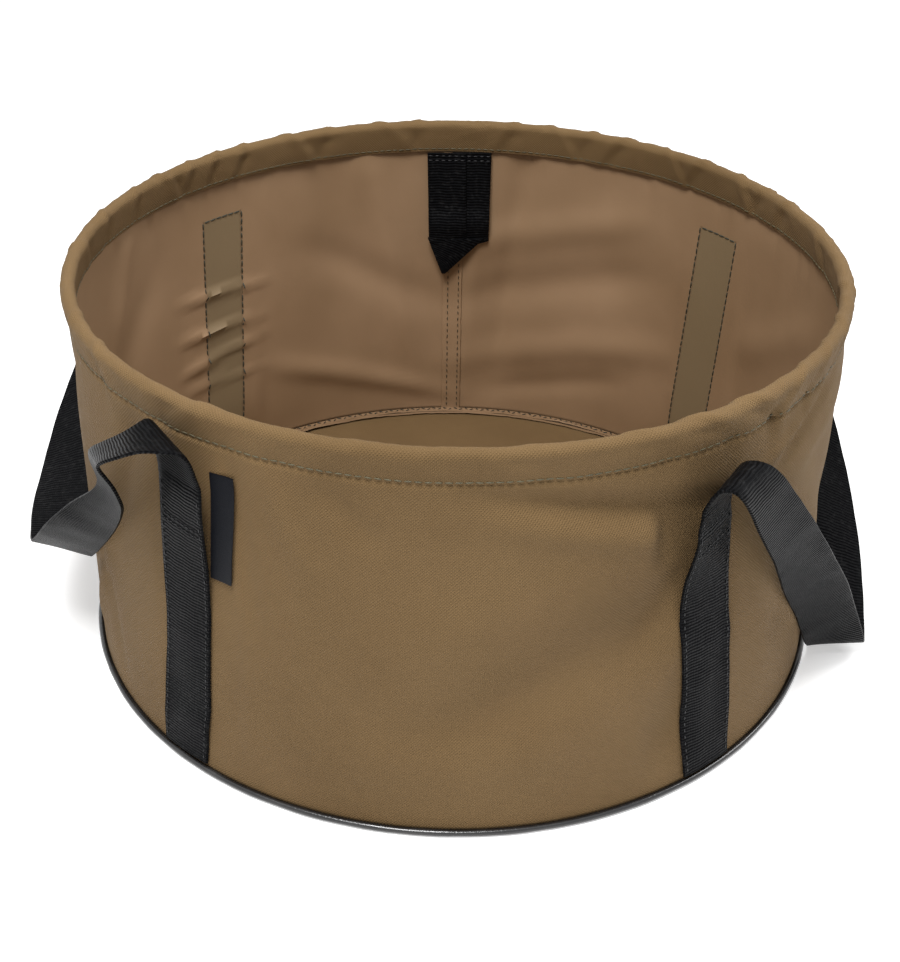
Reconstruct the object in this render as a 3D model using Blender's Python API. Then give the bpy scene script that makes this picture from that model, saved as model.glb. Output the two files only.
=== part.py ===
"""Collapsible camp bucket: a fabric tub with a hooped rim, a piped base, sewn webbing straps that
run on into two free carrying loops, and a pull loop inside the back of the rim.

Metres, +Z up. The origin is the centre of the base, on the ground. The front is -Y, the back seam +Y.
"""

import math

import bmesh
import bpy
from mathutils import Matrix, Vector

# Driving dimensions
height = 0.216  # ground to the top of the rim
rim_radius = 0.2005  # outside of the wall at the rim
base_radius = 0.2045  # outside of the wall at the base
cloth = 0.0009  # coated cloth
gap = 0.0003  # left between pieces that touch

hem_depth = 0.0175  # top of the rim down to the hem's lower stitch
hem_lap = 0.003  # inner leg of the hem, below the stitch
hem_set = 0.0012  # middle of the hoop, inwards of the wall
hoop_wire = 0.0050  # diameter of the rim's hoop
hoop_split = 0.0040  # between the hoop's two ends, inside the ferrule
ferrule_wall = 0.0005
ferrule_length = 0.024
ferrule_azimuth = 162.0  # degrees from +X, hidden inside the hem

welt_cord = 0.0024  # diameter of the cord inside the piping
welt_cover = 0.0006
welt_mouth = 26.0  # degrees left open each side of the seam
seam_turn = 0.0062  # width of the turned-in edges round the base
seam_layers = 3

webbing_width = 0.032
webbing = 0.0016  # thickness
strap_azimuths = {  # degrees from +X
    "front_right": -53.5,
    "back_right": 39.5,
    "back_left": 138.0,
    "front_left": 231.5,
}
strap_over_welt = 0.0017  # lower end of a strap, over the piping
strap_drop = 0.042  # upper end of a strap, below the top of the rim
anchor_length = 0.026  # the stitched top end of a strap
bend_length = 0.112  # soft stretch of a carrying loop beside each anchor
bend_rise = 0.0045  # of it, up from the anchor
bend_lean = 0.0020  # outwards over that rise
swing_rise = 0.0020  # axis of a carrying loop, over the straps

flap_width = 0.013  # back seam
flap_azimuth = 91.0
flap_short = 0.001  # between the flap's top and the hem's inner leg
label_width = 0.0105
label_length = 0.058
label_rise = 0.010  # top of the label, over the strap's
label_cloth = 0.0008

pull_webbing = 0.025  # width of the pull loop's webbing
pull_spread = 0.041  # across both legs
pull_drop = 0.060  # legs, down to where the fold starts
pull_tip = 0.024  # folded point below the legs
pull_root = 0.010  # stitched end below the hem
pull_apex = 0.45  # of the webbing's width, from the left edge to the point
pull_side = 0.55  # of the tip's depth, where the overlapping leg ends

ring_steps = 80
wire_sides = 8
roll_steps = 8
strip_steps = 4  # per control point of a carrying loop
welt_steps = 12
cord_sides = 6


def wall_outside(z):
    """Outside radius of the tapering wall at a height."""
    return base_radius + (rim_radius - base_radius) * z / height


# Followed values
wall_foot = cloth + gap
hem_foot = height - hem_depth
roll_inside = hoop_wire / 2 + ferrule_wall + 2 * gap
roll_outside = roll_inside + cloth
roll_centre = (rim_radius - cloth / 2 - hem_set, height - roll_outside)
welt_radius = welt_cord / 2 + gap + welt_cover
foot_radius = max(base_radius, wall_outside(2 * welt_radius + gap))
welt_centre = (foot_radius + gap + welt_radius * math.cos(math.radians(welt_mouth)), welt_radius + gap)
strap_foot = welt_centre[1] + welt_radius + strap_over_welt
strap_top = height - strap_drop
label_top = strap_top + label_rise
swing_axis_z = strap_top + swing_rise


# Carrying loops, from the front anchor to the back one: share of the azimuth between them, inner edge of the
# webbing out from the wall, height as a share of strap_top, and the way across as (outwards, along, up)
right_route = [
    (-0.006, 0.0049, 1.053, (-0.60, 0.80, -0.02)),
    (0.043, 0.0095, 0.983, (-0.19, 0.96, 0.20)),
    (0.104, 0.0086, 0.839, (0.12, 0.97, 0.23)),
    (0.199, 0.0026, 0.592, (0.48, 0.81, 0.34)),
    (0.284, 0.0013, 0.376, (0.68, 0.50, 0.53)),
    (0.358, 0.0034, 0.163, (0.82, 0.37, 0.45)),
    (0.396, 0.0052, 0.045, (0.96, 0.29, 0.00)),
    (0.429, 0.0041, 0.078, (0.97, 0.23, -0.10)),
    (0.553, 0.0027, 0.264, (0.92, 0.03, -0.40)),
    (0.699, 0.0044, 0.460, (0.84, -0.34, -0.43)),
    (0.821, 0.0063, 0.678, (0.68, -0.64, -0.37)),
    (0.924, 0.0069, 0.920, (0.41, -0.89, -0.21)),
    (0.983, 0.0100, 1.052, (0.12, -0.99, -0.06)),
    (0.999, 0.0076, 1.080, (0.00, -1.00, 0.00)),
]
left_route = [
    (0.000, 0.0071, 1.092, (-0.10, 0.99, -0.08)),
    (-0.007, 0.0037, 1.164, (-0.60, 0.80, -0.07)),
    (0.012, 0.0136, 1.145, (-0.47, 0.87, -0.13)),
    (0.025, 0.0215, 1.121, (-0.38, 0.90, -0.19)),
    (0.040, 0.0236, 1.079, (-0.32, 0.91, -0.28)),
    (0.054, 0.0208, 1.018, (-0.27, 0.91, -0.31)),
    (0.089, 0.0150, 0.918, (-0.17, 0.95, -0.25)),
    (0.170, 0.0070, 0.751, (0.35, 0.94, 0.01)),
    (0.244, 0.0029, 0.594, (0.73, 0.65, 0.21)),
    (0.339, 0.0028, 0.422, (0.89, 0.32, 0.32)),
    (0.380, 0.0026, 0.397, (0.95, 0.27, 0.16)),
    (0.562, 0.0028, 0.477, (0.94, -0.02, -0.33)),
    (0.707, 0.0064, 0.626, (0.83, -0.39, -0.39)),
    (0.833, 0.0109, 0.805, (0.62, -0.72, -0.31)),
    (0.938, 0.0107, 0.977, (0.30, -0.94, -0.15)),
    (0.988, 0.0116, 1.063, (0.09, -1.00, -0.04)),
    (1.002, 0.0076, 1.083, (0.00, -1.00, 0.00)),
]


def clear_scene():
    for obj in list(bpy.data.objects):
        bpy.data.objects.remove(obj, do_unlink=True)


def make_material(name, colour, roughness, metallic=0.0):
    material = bpy.data.materials.new(name)
    material.use_nodes = True
    shader = material.node_tree.nodes["Principled BSDF"]
    shader.inputs["Base Color"].default_value = (*colour, 1.0)
    shader.inputs["Roughness"].default_value = roughness
    shader.inputs["Metallic"].default_value = metallic
    return material


def finish(name, bm, material, smooth_angle=35.0):
    bmesh.ops.remove_doubles(bm, verts=bm.verts, dist=1e-6)
    bmesh.ops.recalc_face_normals(bm, faces=bm.faces)
    mesh = bpy.data.meshes.new(name)
    bm.to_mesh(mesh)
    bm.free()
    mesh.shade_smooth()
    mesh.set_sharp_from_angle(angle=math.radians(smooth_angle))
    mesh.materials.append(material)
    obj = bpy.data.objects.new(name, mesh)
    bpy.context.scene.collection.objects.link(obj)
    return obj


def make_empty(name, place, parent=None):
    empty = bpy.data.objects.new(name, None)
    empty.empty_display_size = 0.02
    empty["place"] = place
    empty.location = place
    if parent:
        empty.parent = parent
        empty.location = Vector(place) - Vector(parent["place"])
    bpy.context.scene.collection.objects.link(empty)
    return empty


def carry(empty, *pieces):
    for piece in pieces:
        piece.parent = empty
        piece.matrix_parent_inverse = Matrix.Translation(-Vector(empty["place"]))


def turned(name, profile, material, start=0.0, sweep=360.0, steps=None):
    """A closed (radius, height) profile turned about Z, all the way round or through a sweep."""
    steps = steps or ring_steps
    whole = sweep >= 360.0
    bm = bmesh.new()
    points = [bm.verts.new((radius, 0.0, z)) for radius, z in profile]
    edges = [bm.edges.new((a, b)) for a, b in zip(points, points[1:] + points[:1])]
    geometry = points + edges
    if not whole:
        geometry.append(bm.faces.new(points))
    bmesh.ops.rotate(bm, verts=points, cent=(0, 0, 0), matrix=Matrix.Rotation(math.radians(start), 3, "Z"))
    bmesh.ops.spin(
        bm,
        geom=geometry,
        cent=(0, 0, 0),
        axis=(0, 0, 1),
        angle=math.radians(sweep),
        steps=steps,
        use_merge=whole,
    )
    return finish(name, bm, material)


def circle_profile(centre, radius, sides):
    turn = 2 * math.pi / sides
    return [
        (centre[0] + radius * math.cos(turn * n), centre[1] + radius * math.sin(turn * n))
        for n in range(sides)
    ]


def on_wall(name, azimuth, width, low, high, clear, thickness, material, steps=4):
    """A flat piece laid round the wall, centred on an azimuth given in degrees from +X."""
    middle = wall_outside((low + high) / 2)
    sweep = math.degrees(width / middle)
    profile = [
        (wall_outside(low) + clear, low),
        (wall_outside(low) + clear + thickness, low),
        (wall_outside(high) + clear + thickness, high),
        (wall_outside(high) + clear, high),
    ]
    return turned(name, profile, material, azimuth - sweep / 2, sweep, steps)


def spline(route, steps):
    """Catmull-Rom through the control points, as (centre, across) stations."""
    centres = [Vector(centre) for centre, _ in route]
    acrosses = [Vector(across).normalized() for _, across in route]
    stations = []
    for values in (centres, acrosses):
        padded = [2 * values[0] - values[1], *values, 2 * values[-1] - values[-2]]
        line = []
        for n in range(1, len(padded) - 2):
            a, b, c, d = padded[n - 1 : n + 3]
            for step in range(steps):
                t = step / steps
                line.append(
                    0.5
                    * (
                        2 * b
                        + (c - a) * t
                        + (2 * a - 5 * b + 4 * c - d) * t * t
                        + (3 * b - 3 * c + d - a) * t * t * t
                    )
                )
        line.append(values[-1])
        stations.append(line)
    return list(zip(*stations))


def cut_route(stations, start, end):
    """The stations between two distances along the line, with new ones at both ends."""
    kept, travelled = [], 0.0
    for (a, across_a), (b, across_b) in zip(stations, stations[1:]):
        step = (b - a).length
        for edge in (start, end):
            if travelled <= edge < travelled + step:
                share = (edge - travelled) / step
                kept.append((a.lerp(b, share), across_a.lerp(across_b, share)))
        if start < travelled + step < end:
            kept.append((b, across_b))
        travelled += step
    if end >= travelled:
        kept.append(stations[-1])
    return kept


def route_length(stations):
    return sum((b[0] - a[0]).length for a, b in zip(stations, stations[1:]))


def strip(name, stations, material, level=None):
    """Flat webbing lofted through its stations, with the numbered one level, to stand on an anchor."""
    bm = bmesh.new()
    rings = []
    for n, (centre, across) in enumerate(stations):
        before, after = stations[max(n - 1, 0)][0], stations[min(n + 1, len(stations) - 1)][0]
        along = (after - before).normalized()
        if n == level:
            along = Vector((0, 0, math.copysign(1, along.z)))
        across = (across - along * across.dot(along)).normalized() * webbing_width / 2
        through = along.cross(across).normalized() * webbing / 2
        corners = (across + through, through - across, -across - through, across - through)
        rings.append([bm.verts.new(centre + corner) for corner in corners])
    for ring, following in zip(rings, rings[1:]):
        for n in range(4):
            bm.faces.new((ring[n], ring[n - 1], following[n - 1], following[n]))
    bm.faces.new(rings[0])
    bm.faces.new(rings[-1][::-1])
    return finish(name, bm, material)


def outline_plate(name, outline, face_y, thickness, material):
    """An (x, z) outline standing across the bucket, extruded towards the back."""
    bm = bmesh.new()
    face = bm.faces.new([bm.verts.new((x, face_y, z)) for x, z in outline])
    extruded = bmesh.ops.extrude_face_region(bm, geom=[face])
    moved = [item for item in extruded["geom"] if isinstance(item, bmesh.types.BMVert)]
    bmesh.ops.translate(bm, verts=moved, vec=(0, thickness, 0))
    return finish(name, bm, material)


def disc(name, radius, low, high, material):
    bm = bmesh.new()
    bmesh.ops.create_circle(bm, cap_ends=True, segments=ring_steps, radius=radius)
    bmesh.ops.translate(bm, verts=bm.verts, vec=(0, 0, low))
    extruded = bmesh.ops.extrude_face_region(bm, geom=list(bm.faces))
    moved = [item for item in extruded["geom"] if isinstance(item, bmesh.types.BMVert)]
    bmesh.ops.translate(bm, verts=moved, vec=(0, 0, high - low))
    return finish(name, bm, material)


def make_tub(materials):
    """Base panel, piping, turned-in seam, wall and back seam."""
    disc("base_panel", base_radius, 0.0, cloth, materials["cloth"])

    mouth = math.radians(welt_mouth)
    arc = [math.pi - mouth - 2 * (math.pi - mouth) * n / welt_steps for n in range(welt_steps + 1)]
    inner = welt_radius - welt_cover
    outside = [(math.cos(a) * welt_radius, math.sin(a) * welt_radius) for a in arc]
    inside = [(math.cos(a) * inner, math.sin(a) * inner) for a in reversed(arc)]
    profile = [(welt_centre[0] + r, welt_centre[1] + z) for r, z in outside + inside]
    turned("base_welt", profile, materials["piping"])
    turned("welt_cord", circle_profile(welt_centre, welt_cord / 2, cord_sides), materials["cord"])

    inside_wall = base_radius - cloth - gap
    seam_high = wall_foot + seam_layers * cloth / 2
    turned(
        "base_seam",
        [
            (inside_wall - seam_turn, wall_foot),
            (inside_wall, wall_foot),
            (inside_wall, seam_high),
            (inside_wall - seam_turn, seam_high),
        ],
        materials["cloth"],
    )

    wall_head = hem_foot - gap
    turned(
        "wall",
        [
            (wall_outside(wall_foot) - cloth, wall_foot),
            (wall_outside(wall_foot), wall_foot),
            (wall_outside(wall_head), wall_head),
            (wall_outside(wall_head) - cloth, wall_head),
        ],
        materials["cloth"],
    )
    flap_foot = seam_high + gap
    flap_head = hem_foot - hem_lap - flap_short
    clear = -2 * cloth - gap
    on_wall("back_seam", flap_azimuth, flap_width, flap_foot, flap_head, clear, cloth, materials["cloth"], 2)


def make_straps(materials):
    """Four webbing runs sewn to the wall, each with its stitched top end, and the side label."""
    anchor_foot = strap_top - anchor_length
    anchors = make_empty("anchors", (0, 0, swing_axis_z))
    for name, azimuth in strap_azimuths.items():
        on_wall(
            f"strap_{name}",
            azimuth,
            webbing_width,
            strap_foot,
            anchor_foot - gap,
            gap,
            webbing,
            materials["webbing"],
        )
        anchor = on_wall(
            f"anchor_{name}",
            azimuth,
            webbing_width,
            anchor_foot,
            strap_top,
            gap,
            webbing,
            materials["webbing"],
        )
        carry(anchors, anchor)

    middles = (strap_foot + anchor_foot - gap) / 2, (anchor_foot + strap_top) / 2
    strap_edge = webbing_width / 2 / min(wall_outside(z) for z in middles)
    label_edge = (gap + label_width / 2) / wall_outside(label_top - label_length / 2)
    reach = math.degrees(strap_edge + label_edge)
    on_wall(
        "side_label",
        strap_azimuths["front_left"] + reach,
        label_width,
        label_top - label_length,
        label_top,
        gap,
        label_cloth,
        materials["label"],
        2,
    )
    return anchors


def on_route(front, back, share, clear, z):
    """A point between two azimuths, out from the wall, with the ways outwards and along the wall there."""
    azimuth = math.radians(front + (back - front) * share)
    outwards = Vector((math.cos(azimuth), math.sin(azimuth), 0.0))
    along = Vector((-outwards.y, outwards.x, 0.0))
    if back < front:
        along.negate()
    centre = outwards * (wall_outside(z) + clear)
    centre.z = z
    return centre, outwards, along


def make_handle(side, route, anchors, materials):
    """A free carrying loop: a soft bend beside each anchor and the long loop between them."""
    front, back = (strap_azimuths[f"{end}_{side}"] for end in ("front", "back"))
    seat = gap + webbing / 2
    rise = ((seat, strap_top + gap), (seat + bend_lean, strap_top + gap + bend_rise))
    whole = []
    for clear, z in rise:
        centre, _, along = on_route(front, back, 0.0, clear, z)
        whole.append((centre, along))
    for share, edge, level, (outward, sideways, up) in route:
        clear = edge + abs(outward) * webbing_width / 2
        centre, outwards, along = on_route(front, back, share, clear, level * strap_top)
        whole.append((centre, outwards * outward + along * sideways + Vector((0, 0, up))))
    for clear, z in reversed(rise):
        centre, _, along = on_route(front, back, 1.0, clear, z)
        whole.append((centre, -along))
    stations = spline(whole, strip_steps)
    length = route_length(stations)
    print(f"{side} carrying loop: {length:.3f} m of free webbing")

    pivot = (whole[0][0] + whole[-1][0]) / 2
    pivot.z = swing_axis_z
    lift = make_empty(f"{side}_lift", pivot, anchors)
    swing = make_empty(f"{side}_swing", pivot, lift)
    front_stations = cut_route(stations, 0.0, bend_length - gap)
    back_stations = cut_route(stations, length - bend_length + gap, length)
    loop_stations = cut_route(stations, bend_length, length - bend_length)
    front = strip(f"{side}_bend_front", front_stations, materials["webbing"], 0)
    back = strip(f"{side}_bend_back", back_stations, materials["webbing"], len(back_stations) - 1)
    loop = strip(f"{side}_loop", loop_stations, materials["webbing"])
    carry(lift, front, back)
    carry(swing, loop)


def make_rim(materials):
    """The hem with the hoop inside it, and the sleeve that joins the hoop's ends."""
    rim = make_empty("rim", (0, 0, height))
    centre_r, centre_z = roll_centre
    outer_foot = (wall_outside(hem_foot), hem_foot)
    inner_foot = (wall_outside(hem_foot) - 2 * cloth - 2 * gap, hem_foot - hem_lap)
    arc = [math.pi * n / roll_steps for n in range(roll_steps + 1)]
    outside = [(centre_r + roll_outside * math.cos(a), centre_z + roll_outside * math.sin(a)) for a in arc]
    inside = [
        (centre_r + roll_inside * math.cos(a), centre_z + roll_inside * math.sin(a)) for a in reversed(arc)
    ]
    profile = [outer_foot, *outside, (inner_foot[0] - cloth, inner_foot[1]), inner_foot]
    profile += [*inside, (outer_foot[0] - cloth, outer_foot[1])]
    carry(rim, turned("rim_hem", profile, materials["cloth"]))

    split = math.degrees(hoop_split / centre_r)
    wire = circle_profile(roll_centre, hoop_wire / 2, wire_sides)
    hoop = turned("rim_hoop", wire, materials["steel"], ferrule_azimuth + split / 2, 360 - split)
    sleeve = math.degrees(ferrule_length / centre_r)
    bore = hoop_wire / 2 + gap
    ferrule = tube_arc("hoop_ferrule", bore, bore + ferrule_wall, ferrule_azimuth, sleeve, materials["steel"])
    carry(rim, hoop, ferrule)
    return rim


def tube_arc(name, bore, outer, azimuth, sweep, material, steps=3):
    """A short open tube bent round with the hoop."""
    bm = bmesh.new()
    rings = []
    for step in range(steps + 1):
        angle = math.radians(azimuth - sweep / 2 + sweep * step / steps)
        for radius in (outer, bore):
            ring = []
            for r, z in circle_profile(roll_centre, radius, wire_sides):
                ring.append(bm.verts.new((r * math.cos(angle), r * math.sin(angle), z)))
            rings.append(ring)
    pairs = [(rings[n], rings[n + 2]) for n in range(len(rings) - 2)]
    pairs += [(rings[0], rings[1]), (rings[-2], rings[-1])]
    for ring, other in pairs:
        for n in range(wire_sides):
            bm.faces.new((ring[n - 1], ring[n], other[n], other[n - 1]))
    return finish(name, bm, material)


def make_pull_loop(rim, materials):
    """Folded webbing that hangs inside the back of the rim: two overlapping legs and a pointed fold."""
    top = hem_foot - hem_lap - gap
    tightest = min(wall_outside(hem_foot), wall_outside(top - pull_drop - pull_tip))
    behind = tightest - 3 * cloth - 4 * gap
    stack = 2 * webbing
    pivot = (0.0, behind - stack / 2, top)
    lift = make_empty("pull_lift", pivot, rim)
    swing = make_empty("pull_swing", pivot, lift)

    half = pull_spread / 2
    neck = top - pull_root
    root = outline_plate(
        "pull_root",
        [(-half, top), (-half, neck + gap), (half, neck + gap), (half, top)],
        behind - stack,
        stack,
        materials["webbing"],
    )
    foot = top - pull_drop
    outline = [
        (-half, neck),
        (-half, foot),
        (-half + pull_webbing * pull_apex, foot - pull_tip),
        (half - pull_webbing, foot - pull_tip * pull_side),
        (half, foot),
        (half, neck),
    ]
    loop = outline_plate("pull_loop", outline, behind - stack, stack, materials["webbing"])
    carry(lift, root)
    carry(swing, loop)


def main():
    clear_scene()
    materials = {
        "cloth": make_material("coated_cloth", (0.175, 0.122, 0.066), 0.78),
        "webbing": make_material("webbing", (0.017, 0.018, 0.020), 0.62),
        "piping": make_material("piping", (0.012, 0.012, 0.014), 0.28),
        "cord": make_material("piping_cord", (0.62, 0.60, 0.56), 0.85),
        "steel": make_material("spring_steel", (0.52, 0.52, 0.53), 0.34, 1.0),
        "label": make_material("woven_label", (0.014, 0.016, 0.022), 0.66),
    }
    make_tub(materials)
    anchors = make_straps(materials)
    make_handle("right", right_route, anchors, materials)
    make_handle("left", left_route, anchors, materials)
    rim = make_rim(materials)
    make_pull_loop(rim, materials)


main()
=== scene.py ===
# Collapsible camp bucket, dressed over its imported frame.
import math
import random

import bpy
import bmesh
from mathutils import Matrix, Vector, noise


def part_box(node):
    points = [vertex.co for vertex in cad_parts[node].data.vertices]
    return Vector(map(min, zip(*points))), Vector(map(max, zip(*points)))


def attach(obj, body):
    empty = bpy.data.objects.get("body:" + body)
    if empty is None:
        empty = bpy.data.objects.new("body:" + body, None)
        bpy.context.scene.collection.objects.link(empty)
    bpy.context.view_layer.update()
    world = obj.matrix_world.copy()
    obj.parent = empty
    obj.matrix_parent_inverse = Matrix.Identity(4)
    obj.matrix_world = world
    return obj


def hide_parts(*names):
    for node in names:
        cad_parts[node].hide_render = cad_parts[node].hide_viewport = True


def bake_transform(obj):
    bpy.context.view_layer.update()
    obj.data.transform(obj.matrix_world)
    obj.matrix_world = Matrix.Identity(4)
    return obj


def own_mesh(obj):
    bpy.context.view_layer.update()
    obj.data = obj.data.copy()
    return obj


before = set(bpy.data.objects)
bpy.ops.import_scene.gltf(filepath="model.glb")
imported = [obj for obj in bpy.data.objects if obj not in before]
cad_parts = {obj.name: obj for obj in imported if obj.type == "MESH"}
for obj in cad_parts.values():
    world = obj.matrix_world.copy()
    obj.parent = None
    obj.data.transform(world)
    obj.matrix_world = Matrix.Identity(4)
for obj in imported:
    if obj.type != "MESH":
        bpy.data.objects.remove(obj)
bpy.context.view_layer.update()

# Sizes that the pieces share, in metres. Directions round the bucket are degrees to the right of the front.
tub = {
    "height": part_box("rim_hem")[1][2],
    "baseRadius": 0.2045,
    "rimRadius": 0.2005,
    "cloth": 0.0009,
    "hemFoot": 0.1985,
    "wallFoot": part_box("wall")[0][2],
    "webbing": 0.0016,
    "webbingWidth": 0.032,
    "straps": {"front_right": 36.5, "back_right": 129.5, "back_left": 228.0, "front_left": 321.5},
    "leans": {"front_right": -3.1, "back_right": -1.7, "back_left": -1.5, "front_left": 2.3},    # at the top
    "twists": {"front_right": 24.0, "back_right": 0.0, "back_left": 0.0, "front_left": -10.0},   # off the wall there
    "strapTop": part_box("anchor_front_left")[1][2],
    "backSeam": 181.0,
}
meanRadius = (tub["baseRadius"] + tub["rimRadius"]) / 2


# Small helpers

def deselectAll():
    if bpy.context.object and bpy.context.object.mode != "OBJECT":
        bpy.ops.object.mode_set(mode="OBJECT")
    bpy.ops.object.select_all(action="DESELECT")


def smooth(value, low, high):
    share = min(max((value - low) / (high - low), 0.0), 1.0)
    return share * share * (3 - 2 * share)


def fromFront(point):
    return math.degrees(math.atan2(point[1], point[0])) + 90


def turnedBy(angle):    # outward direction at an angle from the front
    turn = math.radians(angle - 90)
    return Vector((math.cos(turn), math.sin(turn), 0))


def strapAngle(name, z):    # a strap leans a little to its top
    share = z / tub["strapTop"] - 0.5
    return tub["straps"][name] + tub["leans"][name] * min(2 * share, 1.0)


def angleBetween(angle, middle):    # shortest way round, in degrees
    return (angle - middle + 180) % 360 - 180


def finishPiece(piece, materials, smoothAngle=50):
    deselectAll()
    piece.select_set(True)
    bpy.context.view_layer.objects.active = piece
    bpy.ops.object.transform_apply(location=True, rotation=True, scale=True)
    bpy.ops.object.shade_smooth_by_angle(angle=math.radians(smoothAngle))
    piece.data.materials.clear()
    for material in materials:
        piece.data.materials.append(material)
    return piece


def applyModifier(piece, kind, **values):
    modifier = piece.modifiers.new(kind.title(), kind)
    for name, value in values.items():
        setattr(modifier, name, value)
    deselectAll()
    piece.select_set(True)
    bpy.context.view_layer.objects.active = piece
    bpy.ops.object.modifier_apply(modifier=modifier.name)


def mendNormals(piece):
    deselectAll()
    piece.select_set(True)
    bpy.context.view_layer.objects.active = piece
    bpy.ops.object.mode_set(mode="EDIT")
    bpy.ops.mesh.select_all(action="SELECT")
    bpy.ops.mesh.remove_doubles(threshold=1e-6)
    bpy.ops.mesh.normals_make_consistent(inside=False)
    bpy.ops.object.mode_set(mode="OBJECT")


def spinLine(name, points, steps, closed=False):    # a (radius, height) line drawn by extruding, then spun
    deselectAll()
    bpy.ops.mesh.primitive_plane_add(size=0.001, location=(points[0][0], 0, points[0][1]))
    piece = bpy.context.active_object
    piece.name = name
    bpy.ops.object.transform_apply(location=True)
    bpy.ops.object.mode_set(mode="EDIT")
    bpy.ops.mesh.select_all(action="SELECT")
    bpy.ops.mesh.merge(type="CENTER")
    line = list(points) + ([points[0]] if closed else [])
    for here, there in zip(line, line[1:]):
        step = (there[0] - here[0], 0, there[1] - here[1])
        bpy.ops.mesh.extrude_vertices_move(TRANSFORM_OT_translate={"value": step})
    bpy.ops.mesh.select_all(action="SELECT")
    bpy.ops.mesh.remove_doubles(threshold=1e-6)
    bpy.ops.mesh.select_all(action="SELECT")
    bpy.ops.mesh.spin(steps=steps, angle=2 * math.pi, center=(0, 0, 0), axis=(0, 0, 1))
    bpy.ops.object.mode_set(mode="OBJECT")
    mendNormals(piece)
    return piece


def loftStrip(name, section, rows, place):    # a flat section extruded row by row, then laid on its route
    deselectAll()
    bpy.ops.mesh.primitive_circle_add(vertices=len(section), radius=1, fill_type="NGON")
    piece = bpy.context.active_object
    piece.name = name
    bpy.ops.object.mode_set(mode="EDIT")
    bpy.ops.mesh.select_all(action="SELECT")
    for _ in range(rows):
        bpy.ops.mesh.extrude_region_move(TRANSFORM_OT_translate={"value": (0, 0, 1)})
    bpy.ops.object.mode_set(mode="OBJECT")
    mesh = piece.data
    turn = 2 * math.pi / len(section)
    spots = []
    for vert in mesh.vertices:
        side = round(math.atan2(-vert.co.x, vert.co.y) / turn) % len(section)
        spots.append((section[side], round(vert.co.z)))
    uvs = mesh.uv_layers.active or mesh.uv_layers.new(name="weaveMap")
    uvs.name = "weaveMap"
    length = [0.0]
    middles = [place(0, 0, row) for row in range(rows + 1)]
    for here, there in zip(middles, middles[1:]):
        length.append(length[-1] + (there - here).length)
    for loop in mesh.loops:
        (x, _), row = spots[loop.vertex_index]
        uvs.data[loop.index].uv = (x, length[row])
    for vert, ((x, y), row) in zip(mesh.vertices, spots):
        vert.co = place(x, y, row)
    mendNormals(piece)
    return piece


def unrollMap(piece, along):    # u round the bucket, v from a function of the point, both in metres
    mesh = piece.data
    uvs = mesh.uv_layers.active or mesh.uv_layers.new(name="weaveMap")
    uvs.name = "weaveMap"
    for face in mesh.polygons:
        middle = fromFront(face.center)
        for loop in face.loop_indices:
            point = mesh.vertices[mesh.loops[loop].vertex_index].co
            angle = middle + angleBetween(fromFront(point), middle)
            uvs.data[loop].uv = (math.radians(angle) * meanRadius, along(point))


# Shader node helpers

def addMath(tree, operation, *values):
    node = tree.nodes.new("ShaderNodeMath")
    node.operation = operation
    for socket, value in zip(node.inputs, values):
        if isinstance(value, (int, float)):
            socket.default_value = value
        else:
            tree.links.new(value, socket)
    return node.outputs[0]


def mixColours(tree, share, first, second, blend="MIX"):
    node = tree.nodes.new("ShaderNodeMix")
    node.data_type = "RGBA"
    node.blend_type = blend
    for socket, value in ((node.inputs[0], share), (node.inputs[6], first), (node.inputs[7], second)):
        if isinstance(value, (int, float)):
            socket.default_value = value
        elif isinstance(value, tuple):
            socket.default_value = (*value, 1)
        else:
            tree.links.new(value, socket)
    return node.outputs[2]


def startGroup(name, inputs, outputs):
    group = bpy.data.node_groups.new(name, "ShaderNodeTree")
    for label, kind, value in inputs:
        socket = group.interface.new_socket(name=label, in_out="INPUT", socket_type="NodeSocket" + kind)
        if value is not None:
            socket.default_value = value
    for label, kind in outputs:
        group.interface.new_socket(name=label, in_out="OUTPUT", socket_type="NodeSocket" + kind)
    return group, group.nodes.new("NodeGroupInput"), group.nodes.new("NodeGroupOutput")


def wave(tree, value, pitch):    # 0 to 1 and back over each pitch
    turns = addMath(tree, "MULTIPLY", addMath(tree, "DIVIDE", value, pitch), 2 * math.pi)
    return addMath(tree, "MULTIPLY_ADD", addMath(tree, "SINE", turns), 0.5, 0.5)


def noiseAt(tree, vector, scale, detail=3.0, roughness=0.55):
    node = tree.nodes.new("ShaderNodeTexNoise")
    node.inputs["Scale"].default_value = scale
    node.inputs["Detail"].default_value = detail
    node.inputs["Roughness"].default_value = roughness
    tree.links.new(vector, node.inputs["Vector"])
    return node.outputs["Fac"]


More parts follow.
